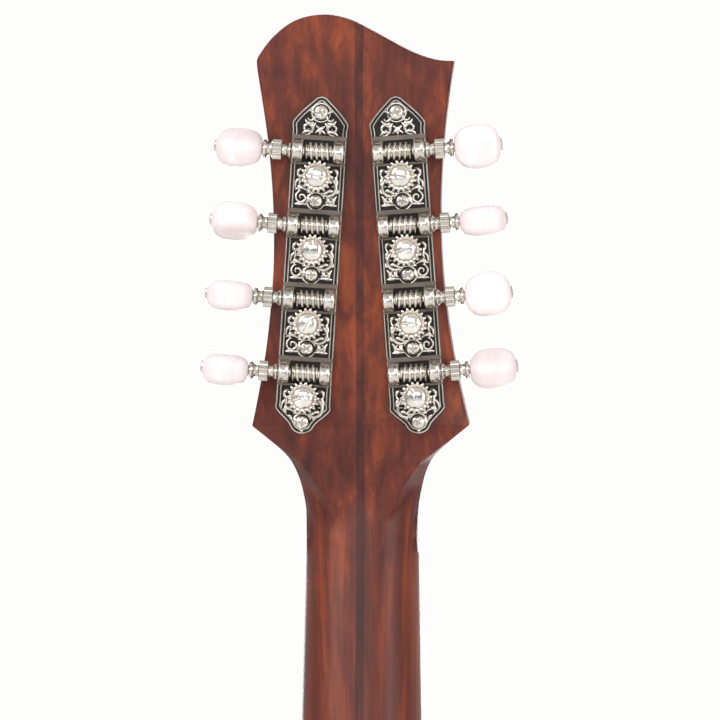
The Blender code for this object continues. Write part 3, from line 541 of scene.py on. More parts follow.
def neck_rings(outline):
    """Sections of the neck's wood from the heel to the headstock, in the neck's frame."""
    body_top = NECK.inverted() @ Vector((0, board_y, BODY_Z + BODY_LENGTH + 0.3 * MM))
    span = HEEL_START - body_top.z
    stations = [body_top.z + span * part / 24 for part in range(24)]
    stations += [HEEL_START * (1 - part / 30) - 1.5 * MM * part / 30 for part in range(31)]
    sections = []
    for z in stations:
        sweep = max(0.0, (HEEL_START - z) / span)
        back = NECK_BACK - 0.0115 * z
        back += (HEEL_BACK - back) * sweep ** 1.8
        place = Matrix.Translation((0, 0, z))
        place[2][1] = sweep * math.tan(NECK_ANGLE)
        half = NUT_HALF - NECK_TAPER * z - 0.15 * MM
        front = BOARD_THICKNESS
        sections.append((place, neck_section(half, front, back - front, 2.15 + 0.6 * sweep)))
    to_neck = NECK.inverted() @ HEAD
    front = OVERLAY_THICKNESS
    for step in range(29):
        z = 5.5 + (HEAD_CORNER[1] - 5.5) * step / 28
        half = head_half(z * MM, outline)
        depth = HEAD_THICKNESS - front + interpolate(BLEND_PROUD, z) * MM
        edge = interpolate(BLEND_TONGUE, z) * MM
        slope = interpolate(BLEND_SLOPE, z)
        section = neck_section(half, front, depth, interpolate(BLEND_POWER, z), edge, slope)
        sections.append((to_neck @ Matrix.Translation((0, 0, z * MM)), section))
    inner = [(x * 0.98, min(y, HEAD_THICKNESS - 0.4 * MM)) for x, y in sections[-1][1]]
    sections.append((to_neck @ Matrix.Translation((0, 0, HEAD_CORNER[1] * MM + 0.05 * MM)), inner))
    rings = []
    for place, half_ring in sections:
        ring = [(x, y) for x, y in reversed(half_ring)] + [(-x, y) for x, y in half_ring[1:]]
        rings.append([place @ Vector((x, y, 0)) for x, y in ring])
    return rings


def add_slab(bm, outline):
    """The flat of the headstock above its lower corners, its edges eased except along the bottom."""
    low_z = HEAD_CORNER[1] * MM
    upper = [point for point in outline if point.y >= low_z - 1e-6]
    rings = []
    for inset, level in ((0, 0), (0, 12.4), (0.12, 12.85), (0.5, 13.2)):
        moved = inset_loop(upper, inset * MM) if inset else upper
        ring = [Vector((p.x, OVERLAY_THICKNESS + level * MM, max(p.y, low_z))) for p in moved]
        for i, point in enumerate(upper):
            if point.y < low_z + 1e-6:
                ring[i].z = low_z
        rings.append([NECK.inverted() @ HEAD @ point for point in ring])
    add_loft(bm, rings)


def make_neck(outline):
    """The neck in three laminates: two halves and the dark strip between them."""
    wood = bmesh.new()
    add_loft(wood, neck_rings(outline))
    add_slab(wood, outline)
    add_box(wood, (-21 * MM, BOARD_THICKNESS, -392 * MM), (21 * MM, 8.4 * MM, -318 * MM))
    spans = {
        "neck_wood_bass": (-1, -STRIP_HALF), "neck_centre_strip": (-STRIP_HALF, STRIP_HALF),
        "neck_wood_treble": (STRIP_HALF, 1),
    }
    for name, (low, high) in spans.items():
        bm = wood.copy()
        for limit, side in ((low, -1), (high, 1)):
            if abs(limit) < 1:
                everything = bm.verts[:] + bm.edges[:] + bm.faces[:]
                made = bmesh.ops.bisect_plane(
                    bm, geom=everything, plane_co=(limit, 0, 0), plane_no=(side, 0, 0), clear_outer=True
                )["geom_cut"]
                edges = [item for item in made if isinstance(item, bmesh.types.BMEdge)]
                bmesh.ops.holes_fill(bm, edges=edges)
        surface = dark_strip if "strip" in name else stained
        make(f"fine_{name}", bm, surface, place=NECK, nodes=(name,), angle=40)
    wood.free()


def make_head_front(outline):
    """The black overlay with its post bushings, the rod's cover and its two screws."""
    bm = bmesh.new()
    add_prism(bm, outline, 0, OVERLAY_THICKNESS, 0.4 * MM, HEAD)
    overlay = make("fine_overlay", bm, ebony, nodes=("headstock_overlay",))
    bm = bmesh.new()
    for note in STRINGS:
        x, z = gear_place(note)
        add_turned(bm, scaled(((4.8, 3.4), (-4, 3.4))), "Y", 28,
                   HEAD @ Matrix.Translation((x, 0, z)))
    cut(overlay, bm)
    bm = bmesh.new()
    for note in STRINGS:
        x, z = gear_place(note)
        profile = ((0.6, 3.35), (-0.5, 3.35), (-0.9, 3.7), (-0.9, 4.4), (-0.5, 4.9), (0, 5), (0.02, 3.4))
        add_turned(bm, scaled(profile), "Y", 28,
                   HEAD @ Matrix.Translation((x, 0, z)))
    make("post_bushings", bm, nickel)
    half = ((0, 9.5), (8, 10), (9.2, 14), (8.4, 22), (5.6, 30), (2, 36), (0, 37.5))
    cover = curved(scaled(half), ((8 * MM, 10 * MM),), 8)
    cover += [Vector((-point.x, point.y)) for point in reversed(cover[1:-1])]
    bm = bmesh.new()
    add_prism(bm, cover, -1.8 * MM, -0.3 * MM, 0.5 * MM, HEAD)
    make("fine_rod_cover", bm, ebony_gloss, nodes=("truss_rod_cover",))
    for index, z in enumerate((14, 32)):
        screw(f"rod_cover_screw_{index + 1}", HEAD @ Matrix.Translation((0, -1.8 * MM, z * MM))
              @ Matrix.Rotation(math.pi, 4, "X"), 1.5 * MM, 20 + 50 * index)


# Tuners


def gear_place(note):
    """A gear's x and z in the headstock's frame."""
    side, index = STRINGS[note][:2]
    down = (TUNER_COUNT - 1 - index) * TUNER_PITCH
    return side * (TOP_GEAR_X + down * math.sin(PLATE_FLARE)), TOP_GEAR_Z - down * math.cos(PLATE_FLARE)


def tuner_frame(note):
    """The frame of a tuner's gear: y along its axis and x across the plate."""
    side = STRINGS[note][0]
    x, z = gear_place(note)
    turn = Matrix.Rotation(-side * PLATE_FLARE, 4, "Y")
    return HEAD @ Matrix.Translation((x, SHAFT_Y, z)) @ turn, side


def screw(name, place, radius, angle):
    """A domed screw head with a cross recess, its face towards +y of its place."""
    bm = bmesh.new()
    profile = ((-0.3, 0.98), (0, 1), (0.14, 0.97), (0.3, 0.82), (0.41, 0.55), (0.46, 0.2), (0.47, 0))
    add_turned(bm, [(y * radius, r * radius) for y, r in profile], "Y", 28)
    turn = Matrix.Rotation(math.radians(angle), 4, "Y")
    head = make(name, bm, nickel)
    bm = bmesh.new()
    reach = 0.62 * radius
    half = 0.13 * radius
    for quarter in (0, math.pi / 2):
        spin = turn @ Matrix.Rotation(quarter, 4, "Y")
        add_box(bm, (-reach, 0.2 * radius, -half), (reach, radius, half), spin)
    cut(head, bm, crossing=True)
    head.data.transform(place)


def scroll(centre, start, turns, first, last, thick=1.0, points=22):
    """A spiral line in the plate's plane, thickest in its middle, as (x, z, weight)."""
    run = []
    for step in range(points):
        part = step / (points - 1)
        angle = math.radians(start) + 2 * math.pi * turns * part
        radius = first + (last - first) * part
        weight = thick * (0.55 + 0.75 * math.sin(math.pi * min(1, part * 1.1)) ** 0.8)
        run.append((centre[0] + radius * math.cos(angle), centre[1] + radius * math.sin(angle), weight))
    return run


def leaf(start, end, bend, thick=1.5, points=9):
    """A short curved stroke that swells in its middle, as (x, z, weight)."""
    start, end = Vector(start), Vector(end)
    across = Vector((-(end - start).y, (end - start).x)) * bend
    run = []
    for step in range(points):
        part = step / (points - 1)
        point = start.lerp(end, part) + across * math.sin(math.pi * part)
        run.append((point.x, point.y, thick * (0.35 + math.sin(math.pi * part))))
    return run


def plate_motifs():
    """Scrollwork for one whole plate, in mm in its own frame."""
    runs = []
    for index in range(TUNER_COUNT):
        drop = -index * TUNER_PITCH / MM
        runs += [
            scroll((-4.5, drop - 6.9), 100, 1.35, 2.1, 0.4),
            scroll((-4.3, drop - 3.2), 200, -0.42, 2.5, 2.2),
            scroll((3.2, drop - 3.6), -120, 0.62, 2.4, 3.2, 1.5),
            scroll((5, drop - 1.6), 150, -0.7, 1.2, 1.5),
            scroll((4.6, drop - 7), 60, 1.1, 1.5, 0.3),
            scroll((0, drop - 7.9), 20, 0.9, 2.75, 2.75, 0.8, 26),
            leaf((-6.3, drop + 0.8), (-5.6, drop - 3), 0.2),
            leaf((6.3, drop + 0.6), (6.1, drop - 2), -0.2),
            leaf((2.9, drop - 5.6), (5.4, drop - 4.6), 0.25),
            leaf((-2.9, drop - 5.3), (-1, drop - 5.7), 0.3),
            leaf((5.8, drop - 8.8), (6.4, drop - 6), 0.2), leaf((-6.6, drop - 4.6), (-2.6, drop - 4.9), 0.25),
            leaf((-3.2, drop - 8.6), (-2.6, drop - 6), -0.3), leaf((3, drop - 8.4), (3.4, drop - 6.2), -0.3),
            leaf((4.4, drop - 0.4), (6, drop - 3.4), 0.3), leaf((-4.4, drop + 2.2), (-6, drop - 0.4), -0.25),
            leaf((4.4, drop + 2.2), (6.2, drop + 0.2), 0.3), leaf((-5.4, drop - 5.2), (-4, drop - 2.9), 0.3),
            leaf((1.3, drop - 5.3), (3.4, drop - 4.2), -0.2),
            leaf((5.6, drop - 5.2), (6.4, drop - 3.6), -0.3),
        ]
        if index < TUNER_COUNT - 1:
            runs += [
                leaf((-6.6, drop - 9.1), (-2.8, drop - 9.1), 0.06),
                leaf((2.8, drop - 9), (6.6, drop - 9), 0.06),
            ]
    runs += [
        scroll((-4, 14.6), 250, 1.3, 2, 0.4), scroll((4, 14.6), -70, -1.3, 2, 0.4),
        scroll((-3.3, 18.3), 100, -0.7, 1.9, 0.8), scroll((3.3, 18.3), 80, 0.7, 1.9, 0.8),
        scroll((0, 19.7), 0, 1, 2.9, 2.9, 0.8, 26), leaf((-1.6, 13.2), (1.6, 13.2), 0.3),
        leaf((-1.4, 15.6), (0, 12.6), 0.2), leaf((1.4, 15.6), (0, 12.6), -0.2),
        leaf((-2, 22.3), (0, 23.6), 0.2), leaf((2, 22.3), (0, 23.6), -0.2),
        leaf((-6.8, 13), (-5.4, 17), 0.15), leaf((6.8, 13), (5.4, 17), -0.15),
        leaf((-5.6, 12.8), (-2.2, 13.4), 0.2), leaf((5.6, 12.8), (2.2, 13.4), -0.2),
        leaf((-2.2, 16.6), (-4.8, 17.4), 0.3), leaf((2.2, 16.6), (4.8, 17.4), -0.3),
        leaf((-1.9, 14.2), (-1.4, 16.4), 0.3), leaf((1.9, 14.2), (1.4, 16.4), -0.3),
    ]
    reach = sorted((point.y / MM, point.x / MM - 1.85) for point in plate_outline() if point.x > 0)
    inside = [[spot for spot in run if abs(spot[0]) < interpolate(reach, spot[1])] for run in runs]
    return [run for run in inside if len(run) > 5]


def plate_outline():
    """A tuner plate's outline in its own frame: pointed at the top, rounded at the foot."""
    half = (
        (0, 24.8), (1.7, 24.1), (PLATE_HALF, 16.8), (PLATE_HALF, 14), (PLATE_HALF, -71),
        (PLATE_HALF, -73), (4.3, -77.2), (3, -79.2), (1.5, -80.2), (0, -80.5),
    )
    sharp = ((PLATE_HALF, 14), (PLATE_HALF, -71))
    side = curved(scaled(half), scaled(sharp), 5)
    return side + [Vector((-point.x, point.y)) for point in reversed(side[1:-1])]


def make_plate(name, side):
    """One tuner plate: black field, bright rims, cross-bands in nickel darkened as painted shade, raised
    scrolls, lugs and screws.
    """
    first = "d2" if side == BASS else "a2"
    gear, _ = tuner_frame(first)
    place = gear @ Matrix.Translation((0, -SHAFT_Y, 0))
    outline = plate_outline()
    low = HEAD_THICKNESS - 0.05 * MM
    bm = bmesh.new()
    add_prism(bm, outline, low, PLATE_BACK - 0.25 * MM, place=place)
    make(f"{name}_field", bm, oxide, nodes=(name,))
    bm = bmesh.new()
    for outer, inner, top in ((0, 0.5 * MM, 0), (1.1 * MM, 1.55 * MM, 0.05 * MM)):
        crest = PLATE_BACK + top
        shoulder = crest - 0.15 * MM
        section = (
            (outer, low), (outer, shoulder), (outer + 0.15 * MM, crest), (inner - 0.1 * MM, crest),
            (inner, shoulder), (inner, low),
        )
        add_band(bm, [ring_at(outline, inset, level) for inset, level in section])
    bmesh.ops.transform(bm, matrix=place, verts=bm.verts)
    make(f"{name}_rims", bm, nickel)
    bm = bmesh.new()
    reach = (PLATE_HALF - 0.1) * MM
    shafts = [SHAFT_Z - index * TUNER_PITCH for index in range(TUNER_COUNT)]
    for shaft in shafts:
        for z, half in ((shaft + 4.3 * MM, 0.7 * MM), (shaft - 3.9 * MM, 0.35 * MM)):
            add_box(bm, (-reach, low + 0.4 * MM, z - half), (reach, PLATE_BACK + 0.1 * MM, z + half), place)
    # the cross-bands take the darkened nickel: painted shade by the worms
    make(f"{name}_bands", bm, nickel_painted_shade)
    runs = [[(-side * x * MM, PLATE_BACK - 0.22 * MM, z * MM, weight) for x, z, weight in run]
            for run in plate_motifs()]
    wires(f"{name}_scrolls", runs, 0.34 * MM, nickel, place=place, sides=2, squash=0.9)
    bm = bmesh.new()
    flange = ((1.7, 1.9), (1.72, 2.7), (1.5, 3.15), (1.1, 3.2), (0.8, 2.95))
    profile = [(-x, r) for x, r in flange] + [(0, 2.85), *reversed(flange)]
    down = PLATE_BACK - SHAFT_Y
    foot = (
        (down - 0.3 * MM, 3.9, 1.72), (down + 0.5 * MM, 3.75, 1.72), (down + 1.2 * MM, 3.2, 1.7), (0, 3, 1.6),
    )
    for shaft in shafts:
        for centre in (-6.4 * MM, 6.4 * MM):
            at = place @ Matrix.Translation((centre, SHAFT_Y, shaft))
            add_turned(bm, scaled(profile), "X", 32, at)
            rings = []
            for level, half, wide in foot:
                corners = ((-wide, -half), (wide, -half), (wide, half), (-wide, half))
                rings.append([at @ Vector((x * MM, level, z * MM)) for x, z in corners])
            add_loft(bm, rings)
    lugs = make(f"{name}_lugs", bm, nickel, angle=40)
    modified(lugs, "BEVEL", width=0.15 * MM, segments=2, limit_method="ANGLE")
    heads = [(19.7, 2.3)] + [(-7.9 - 23 * index, 2.1) for index in range(TUNER_COUNT)]
    for index, (z, radius) in enumerate(heads):
        at = place @ Matrix.Translation((0, PLATE_BACK, z * MM))
        screw(f"{name}_screw_{index + 1}", at, radius * MM, 23 + 37 * index * side)


def make_worm_shaft(note):
    """A real thread on the worm, plain journals, and the stem with its knurled barrel."""
    gear, side = tuner_frame(note)
    place = gear @ Matrix.Translation((0, 0, SHAFT_Z))
    thread = WORM_TURNS * WORM_PITCH / 2
    sides = 24
    per_turn = 16
    stations = [(-8.3 * MM, 1.3 * MM, 0), (-8.1 * MM, 1.45 * MM, 0), (-thread - 0.1 * MM, 1.45 * MM, 0)]
    for step in range(WORM_TURNS * per_turn + 1):
        fade = min(1.0, min(step, WORM_TURNS * per_turn - step) / 6)
        x = -thread + step * WORM_PITCH / per_turn
        stations.append((x, 1.95 * MM - 0.2 * MM * (1 - fade), 0.85 * MM * fade))
    stations.append((thread + 0.1 * MM, 1.45 * MM, 0))
    rings = []
    for x, root, height in stations:
        ring = []
        for corner in range(sides):
            angle = 2 * math.pi * corner / sides
            crest = 0.5 + 0.5 * math.cos(2 * math.pi * x / WORM_PITCH - angle)
            reach = root + height * min(1.0, 1.25 * crest)
            ring.append(Vector((side * x, reach * math.sin(angle), -reach * math.cos(angle))))
        rings.append(ring)
    bm = bmesh.new()
    add_loft(bm, rings)
    neck = ((thread / MM, 1.45), (8.3, 1.45), (8.35, 2.4), (8.6, 2.75), (9, 2.75), (9.3, 2.4), (9.8, 1.85),
            (10.4, 1.75), (11, 2.1), (11.25, 2.75))
    flange = ((14.25, 2.75), (14.5, 2.1), (15.1, 1.8), (15.7, 1.95), (16.1, 2.6), (16.4, 2.9), (17, 2.9),
              (17.2, 2.5), (17.2, 1.5), (26, 1.5))
    for profile in (neck + ((11.3, 2.4),), ((14.2, 2.4),) + flange):
        add_turned(bm, scaled(profile, side), "X", 28)
    barrel = ((11.25, 2.6), (11.4, 3.0), (14.1, 3.0), (14.25, 2.6))
    add_turned(bm, scaled(barrel, side), "X", 88, ridges=22, ridge=0.12 * MM)
    make(f"fine_worm_{note}", bm, nickel, f"tuner_{note}", place, (f"worm_shaft_{note}",))


def make_button(note):
    """A moulded button: flat cheeks, round sides, and the small metal cap of its screw."""
    gear, side = tuner_frame(note)
    turn = math.radians(STRINGS[note][3])
    place = gear @ Matrix.Translation((0, 0, SHAFT_Z)) @ Matrix.Rotation(turn, 4, "X")
    bm = bmesh.new()
    bmesh.ops.create_cube(bm, size=2)
    bmesh.ops.subdivide_edges(bm, edges=bm.edges, cuts=15, use_grid_fill=True)
    middle = BUTTON_START + BUTTON_SIZE[0] / 2
    for vert in bm.verts:
        x, y, z = vert.co.normalized() if vert.co.length else vert.co
        face = (abs(x) ** 2.7 + abs(z) ** 2.7) ** (1 / 2.7)
        scale = (face ** 3.4 + abs(y) ** 3.4) ** (-1 / 3.4)
        waist = 1 - 0.05 * max(0.0, -x * scale)
        vert.co = (
            side * (middle + x * scale * BUTTON_SIZE[0] / 2), y * scale * BUTTON_SIZE[1] / 2 * waist,
            z * scale * BUTTON_SIZE[2] / 2 * waist,
        )
    make(f"fine_button_{note}", bm, button_white, f"tuner_{note}", place,
         (f"tuner_button_{note}",), 80)
    bm = bmesh.new()
    end = (BUTTON_START + BUTTON_SIZE[0]) / MM
    profile = ((end - 1.2, 2.2), (end - 0.2, 2.3), (end + 0.15, 2.2), (end + 0.4, 1.7), (end + 0.45, 0.9),
               (end + 0.2, 0.8), (end + 0.2, 0))
    add_turned(bm, scaled(profile, side), "X", 24)
    make(f"button_cap_{note}", bm, nickel, f"tuner_{note}", place)


def make_post(note):
    """The toothed wheel with its slotted screw behind, and the capstan in front, narrowed where its string
    winds.
    """
    gear, side = tuner_frame(note)
    body = f"post_{note}"
    bm = bmesh.new()
    levels = ((-1.3, 1.0, 1.0), (0.8, 1.0, 1.0), (1.2, 0.975, 1.0), (1.42, 0.93, 0.9), (1.5, 0.88, 0.7),
              (1.42, 0.8, 0.3), (1.4, 0.7, 0))
    rings = []
    points = GEAR_TEETH * 10
    for level, part, tooth in levels:
        ring = []
        for corner in range(points):
            angle = 2 * math.pi * corner / points
            wave = -math.cos(GEAR_TEETH * (angle - side * 0.012 * level))
            reach = part * 4.8 + tooth * 0.42 * max(-1.0, min(1.0, 1.4 * wave))
            ring.append(Vector((reach * math.sin(angle) * MM, level * MM, reach * math.cos(angle) * MM)))
        rings.append(ring)
    add_loft(bm, rings)
    front = (POST_FRONT - SHAFT_Y) / MM
    hole = (-STRING_AT_POST - SHAFT_Y) / MM
    profile = (
        (-1.2, 3), (front + 8.6, 3), (front + 8.2, 2.75), (hole + 1.6, 2.7), (hole, 2.55), (hole - 1.4, 2.7),
        (hole - 2, 3), (front + 1.2, 3), (front + 0.5, 2.8), (front, 2.2), (front, 0),
    )
    add_turned(bm, scaled(profile), "Y", 32)
    make(f"fine_post_{note}", bm, nickel, body, gear, (f"string_post_{note}",), 30)
    bm = bmesh.new()
    profile = ((1.3, 3.3), (1.55, 3.45), (1.65, 3.35), (1.65, 3))
    add_turned(bm, scaled(profile), "Y", 36)
    make(f"gear_ring_{note}", bm, brass, body, gear)
    bm = bmesh.new()
    profile = ((1.2, 3.1), (1.75, 3.2), (1.95, 3.05), (2.3, 2.5), (2.55, 1.6), (2.65, 0.7), (2.67, 0))
    add_turned(bm, scaled(profile), "Y", 36)
    head = make(f"gear_screw_{note}", bm, nickel_bright, body)
    bm = bmesh.new()
    angle = math.radians(STRINGS[note][4])
    turn = Matrix.Rotation(angle, 4, "Y")
    add_box(bm, (-5 * MM, 1.9 * MM, -0.38 * MM), (5 * MM, 5 * MM, 0.38 * MM), turn)
    cut(head, bm)
    head.data.transform(gear)


# Body


def body_outline(inset=0.0, steps=48):
    """The body's outline, round below and narrowing to the shoulders, moved in by an inset."""
    waist = Vector((BODY_HALF_WIDTH, WAIST_Z))
    lower = interpolate_bezier((0, 0), (95 * MM, 0), (BODY_HALF_WIDTH, 60 * MM), waist, steps + 1)
    upper = interpolate_bezier(
        waist, (BODY_HALF_WIDTH, 240 * MM), (95 * MM, 345 * MM), (SHOULDER_HALF, BODY_LENGTH), steps + 1
    )
    half = [Vector(point).to_2d() for point in lower + upper[1:]]
    loop = half + [Vector((-point.x, point.y)) for point in reversed(half[1:])]
    return inset_loop(loop, inset) if inset else loop


def arch(scale):
    """How high a carved plate stands at a share of the way out to its edge."""
    return math.cos(scale * math.pi / 2) ** 2


def arched_shell(name, facing, rise, surface):
    """A carved plate: outer and inner arches drawn in from the outline, closed at the edge."""
    loop = body_outline(2.05 * MM)
    rings = []
    scales = [1 - 0.012 * step for step in range(4)] + [0.952 * (1 - step / 34) for step in range(34)]
    dips = [0.35 * MM * math.sin(min(1, (1 - scale) * 9) * math.pi) for scale in scales]
    outer = [(scale, PLATE_FACE + rise * arch(scale) - dip) for scale, dip in zip(scales, dips)]
    inner = [(scale, level - PLATE_WALL) for scale, level in reversed(outer)]
    middle = BODY_Z + ARCH_Z
    for scale, level in inner + outer:
        rings.append([Vector((p.x * scale, facing * level, middle + (p.y - ARCH_Z) * scale)) for p in loop])
    bm = bmesh.new()
    add_loft(bm, rings)
    return make(name, bm, surface, nodes=(name.replace("fine_", ""),))


def make_body():
    """The rim, its two bindings, and the carved top and back."""
    outline = body_outline()
    half = RIM_HALF_DEPTH / MM + 0.1
    rim = ((0, -half), (0, half), (2.3, half), (2.3, -half))
    binding = ((0, 25.35), (0, 28.6), (0.25, 29.2), (0.8, 29.5), (2.05, 29.5), (2.05, 25.35))
    bands = (
        ("rim", rim, 1, maple, "stained_maple"), ("top_binding", binding, -1, cream, "cream_binding"),
        ("back_binding", binding, 1, cream, "cream_binding"),
    )
    for name, section, facing, surface, slot in bands:
        bm = bmesh.new()
        add_band(bm, [ring_at(outline, inset * MM, facing * level * MM, BODY_Z) for inset, level in section])
        make(f"fine_{name}", bm, surface, nodes=(name,), angle=50)
    top = arched_shell("fine_top_plate", -1, TOP_RISE, spruce)
    arched_shell("fine_back_plate", 1, BACK_RISE, maple)
    for side in (-1, 1):
        cut(top, sound_hole_tool(side), crossing=True)
    top.data.set_sharp_from_angle(angle=math.radians(SHARP_ANGLE))


def sound_hole_tool(side):
    """An f-shaped cutter: a slot that swells at its middle, with round ends and a nick."""
    ends = ((88, 117, 7), (65, 215, 5.5))
    spine = [p.to_2d() for p in interpolate_bezier(ends[0][:2], (92, 118), (84, 168), (62, 214), 41)]
    left = []
    right = []
    for i, point in enumerate(spine):
        ahead = spine[min(i + 1, len(spine) - 1)] - spine[max(i - 1, 0)]
        across = Vector((-ahead.y, ahead.x)).normalized() * (2 + 1.6 * math.sin(math.pi * i / 40))
        left.append(point + across)
        right.append(point - across)
    outline = [Vector((side * p.x * MM, BODY_Z + p.y * MM)) for p in left + right[::-1]]
    bm = bmesh.new()
    add_prism(bm, outline, -60 * MM, -22 * MM)
    for x, z, radius in ends:
        at = Matrix.Translation((side * x * MM, 0, BODY_Z + z * MM))
        add_turned(bm, scaled(((-22, radius), (-60, radius))), "Y", 32, at)
    nick = Matrix.Translation((side * 80.5 * MM, 0, BODY_Z + 166 * MM)) @ Matrix.Rotation(side * 0.4, 4, "Y")
    add_box(bm, (-6.3 * MM, -60 * MM, -0.8 * MM), (6.3 * MM, -22 * MM, 0.8 * MM), nick)
    return bm


def make_board():
    """The fingerboard with its frets and dots, and the slotted nut."""
    def half(z):
        return NUT_HALF - NECK_TAPER * z

    def crown(x):
        return 0.0004 * (abs(x) / (20 * MM)) ** 2

    bm = bmesh.new()
    rings = []
    for z in (0, -BOARD_LENGTH):
        wide = half(z) - 0.05 * MM
        xs = [wide * (1 - 2 * step / 16) for step in range(17)]
        ring = [Vector((x, crown(x), z)) for x in xs]
        ring += [Vector((-wide, BOARD_THICKNESS, z)), Vector((wide, BOARD_THICKNESS, z))]
        rings.append(ring)
    add_loft(bm, rings)
    make("fine_fingerboard", bm, ebony, place=NECK, nodes=("fingerboard",), angle=30)
    frets = []
    places = [0.0]
    for number in range(1, 22):
        z = -SCALE_LENGTH * (1 - 2 ** (-number / 12))
        places.append(z)
        wide = half(z) - 0.4 * MM
        xs = [wide * (1 - 2 * step / 12) for step in range(13)]
        thick = [0.55] + [1.0] * 11 + [0.55]
        frets.append([(x, crown(x) - 0.1 * MM, z, weight) for x, weight in zip(xs, thick)])
    wires("frets", frets, 0.85 * MM, nickel, place=NECK, sides=3)
    bm = bmesh.new()
    for number in (5, 7, 10, 12, 15, 17):
        z = (places[number] + places[number - 1]) / 2
        for x in ((-8 * MM, 8 * MM) if number == 12 else (0,)):
            at = NECK @ Matrix.Translation((x, crown(x), z))
            add_turned(bm, scaled(((0.5, 2.6), (-0.03, 2.6), (-0.04, 2.4))), "Y", 28, at)
    make("fret_dots", bm, pearl)
    bm = bmesh.new()
    end = NUT_HALF - 0.35 * MM
    top = [Vector(spot) for spot in ((-end, 0.3 * MM), (end, 0.3 * MM), (end, 4.7 * MM), (-end, 4.7 * MM))]
    add_prism(bm, top, NUT_TOP, BOARD_THICKNESS, 0.5 * MM)
    nut = make("fine_nut", bm, bone, place=NECK, nodes=("nut",))
    bm = bmesh.new()
    for side, index, radius, *_ in STRINGS.values():
        x = side * NUT_COURSES[index]
        at = NECK @ Matrix.Translation((x, NUT_TOP - 0.1 * MM, 2.5 * MM))
        add_turned(bm, scaled(((-4, radius + 0.1), (4, radius + 0.1))), "Z", 12, at)
    cut(nut, bm, crossing=True)


def string_points(note):
    """The points a string turns at: hook, saddle, nut and the inner side of its post."""
    side, index, radius = STRINGS[note][:3]
    rest = radius * MM + 0.3 * MM
    x = side * SADDLE_COURSES[index]
    post_x, post_z = gear_place(note)
    return (
        Vector((x * HOOK_SPREAD, HOOK.y, HOOK.z)),
        Vector((x, CROWN.y - rest, CROWN.z)),
        NECK @ Vector((side * NUT_COURSES[index], NUT_TOP - rest, NUT_LENGTH)),
        HEAD @ Vector((post_x - side * (POST_RADIUS + radius * MM), -STRING_AT_POST, post_z)),
    )


def make_strings():
    """The strings, with their windings on the posts and the loops at their hooks."""
    surfaces = {}
    for note, (side, _, radius, _, _, wound) in STRINGS.items():
        if wound and radius not in surfaces:
            surfaces[radius] = wound_steel(f"wound_wire_{radius}", 0.45 * MM, (0.72, 0.55, 0.34))
        surface = surfaces[radius] if wound else steel
        points = string_points(note)
        nodes = (f"string_{note}",)
        wires(f"fine_string_{note}", [points], radius * MM, surface, nodes=nodes)
        x, z = gear_place(note)
        coil = []
        turns = 3.25
        reach = 2.75 * MM + radius * MM
        for step in range(53):
            angle = math.pi + 2 * math.pi * turns * step / 52
            drop = -STRING_AT_POST + 2.1 * radius * MM * turns * step / 52 * 0.9
            coil.append((x + side * reach * math.cos(angle), drop, z + reach * math.sin(angle)))
        coil.append((x, coil[-1][1], z))
        wires(f"winding_{note}", [coil], radius * MM, surface, f"post_{note}", HEAD, sides=2)
        loop = []
        for step in range(13):
            turn = step * math.pi / 6
            loop.append(points[0] + Vector((1.5 * math.sin(turn), -0.2, 1.6 * math.cos(turn) - 1.6)) * MM)
        wires(f"string_loop_{note}", [loop], radius * MM * 0.8, surface, sides=2)


# Bridge and tailpiece


def cover_node(name, surface):
    """Gives a carried node of the frame its material."""
    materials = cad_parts[name].data.materials
    materials.clear()
    materials.append(surface)


def make_bridge():
    """The base and the saddle keep their shapes; the two wheels are knurled."""
    for name in ("bridge_base", "bridge_saddle"):
        cover_node(name, ebony_gloss)
    for name in ("bridge_wheel_bass", "bridge_wheel_treble"):
        low, high = (Vector(corner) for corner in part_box(name))
        centre = (low + high) / 2
        thick = (high.y - low.y) / 2
        bm = bmesh.new()
        half = ((thick, 1.8 * MM), (thick, 4.9 * MM), (thick * 0.7, 5.35 * MM))
        profile = [(-along, radius) for along, radius in half] + list(reversed(half))
        add_turned(bm, profile, "Y", 144, Matrix.Translation(centre), ridges=36, ridge=0.1 * MM)
        make(f"fine_{name}", bm, brass, name.replace("bridge_", ""), nodes=(name,))


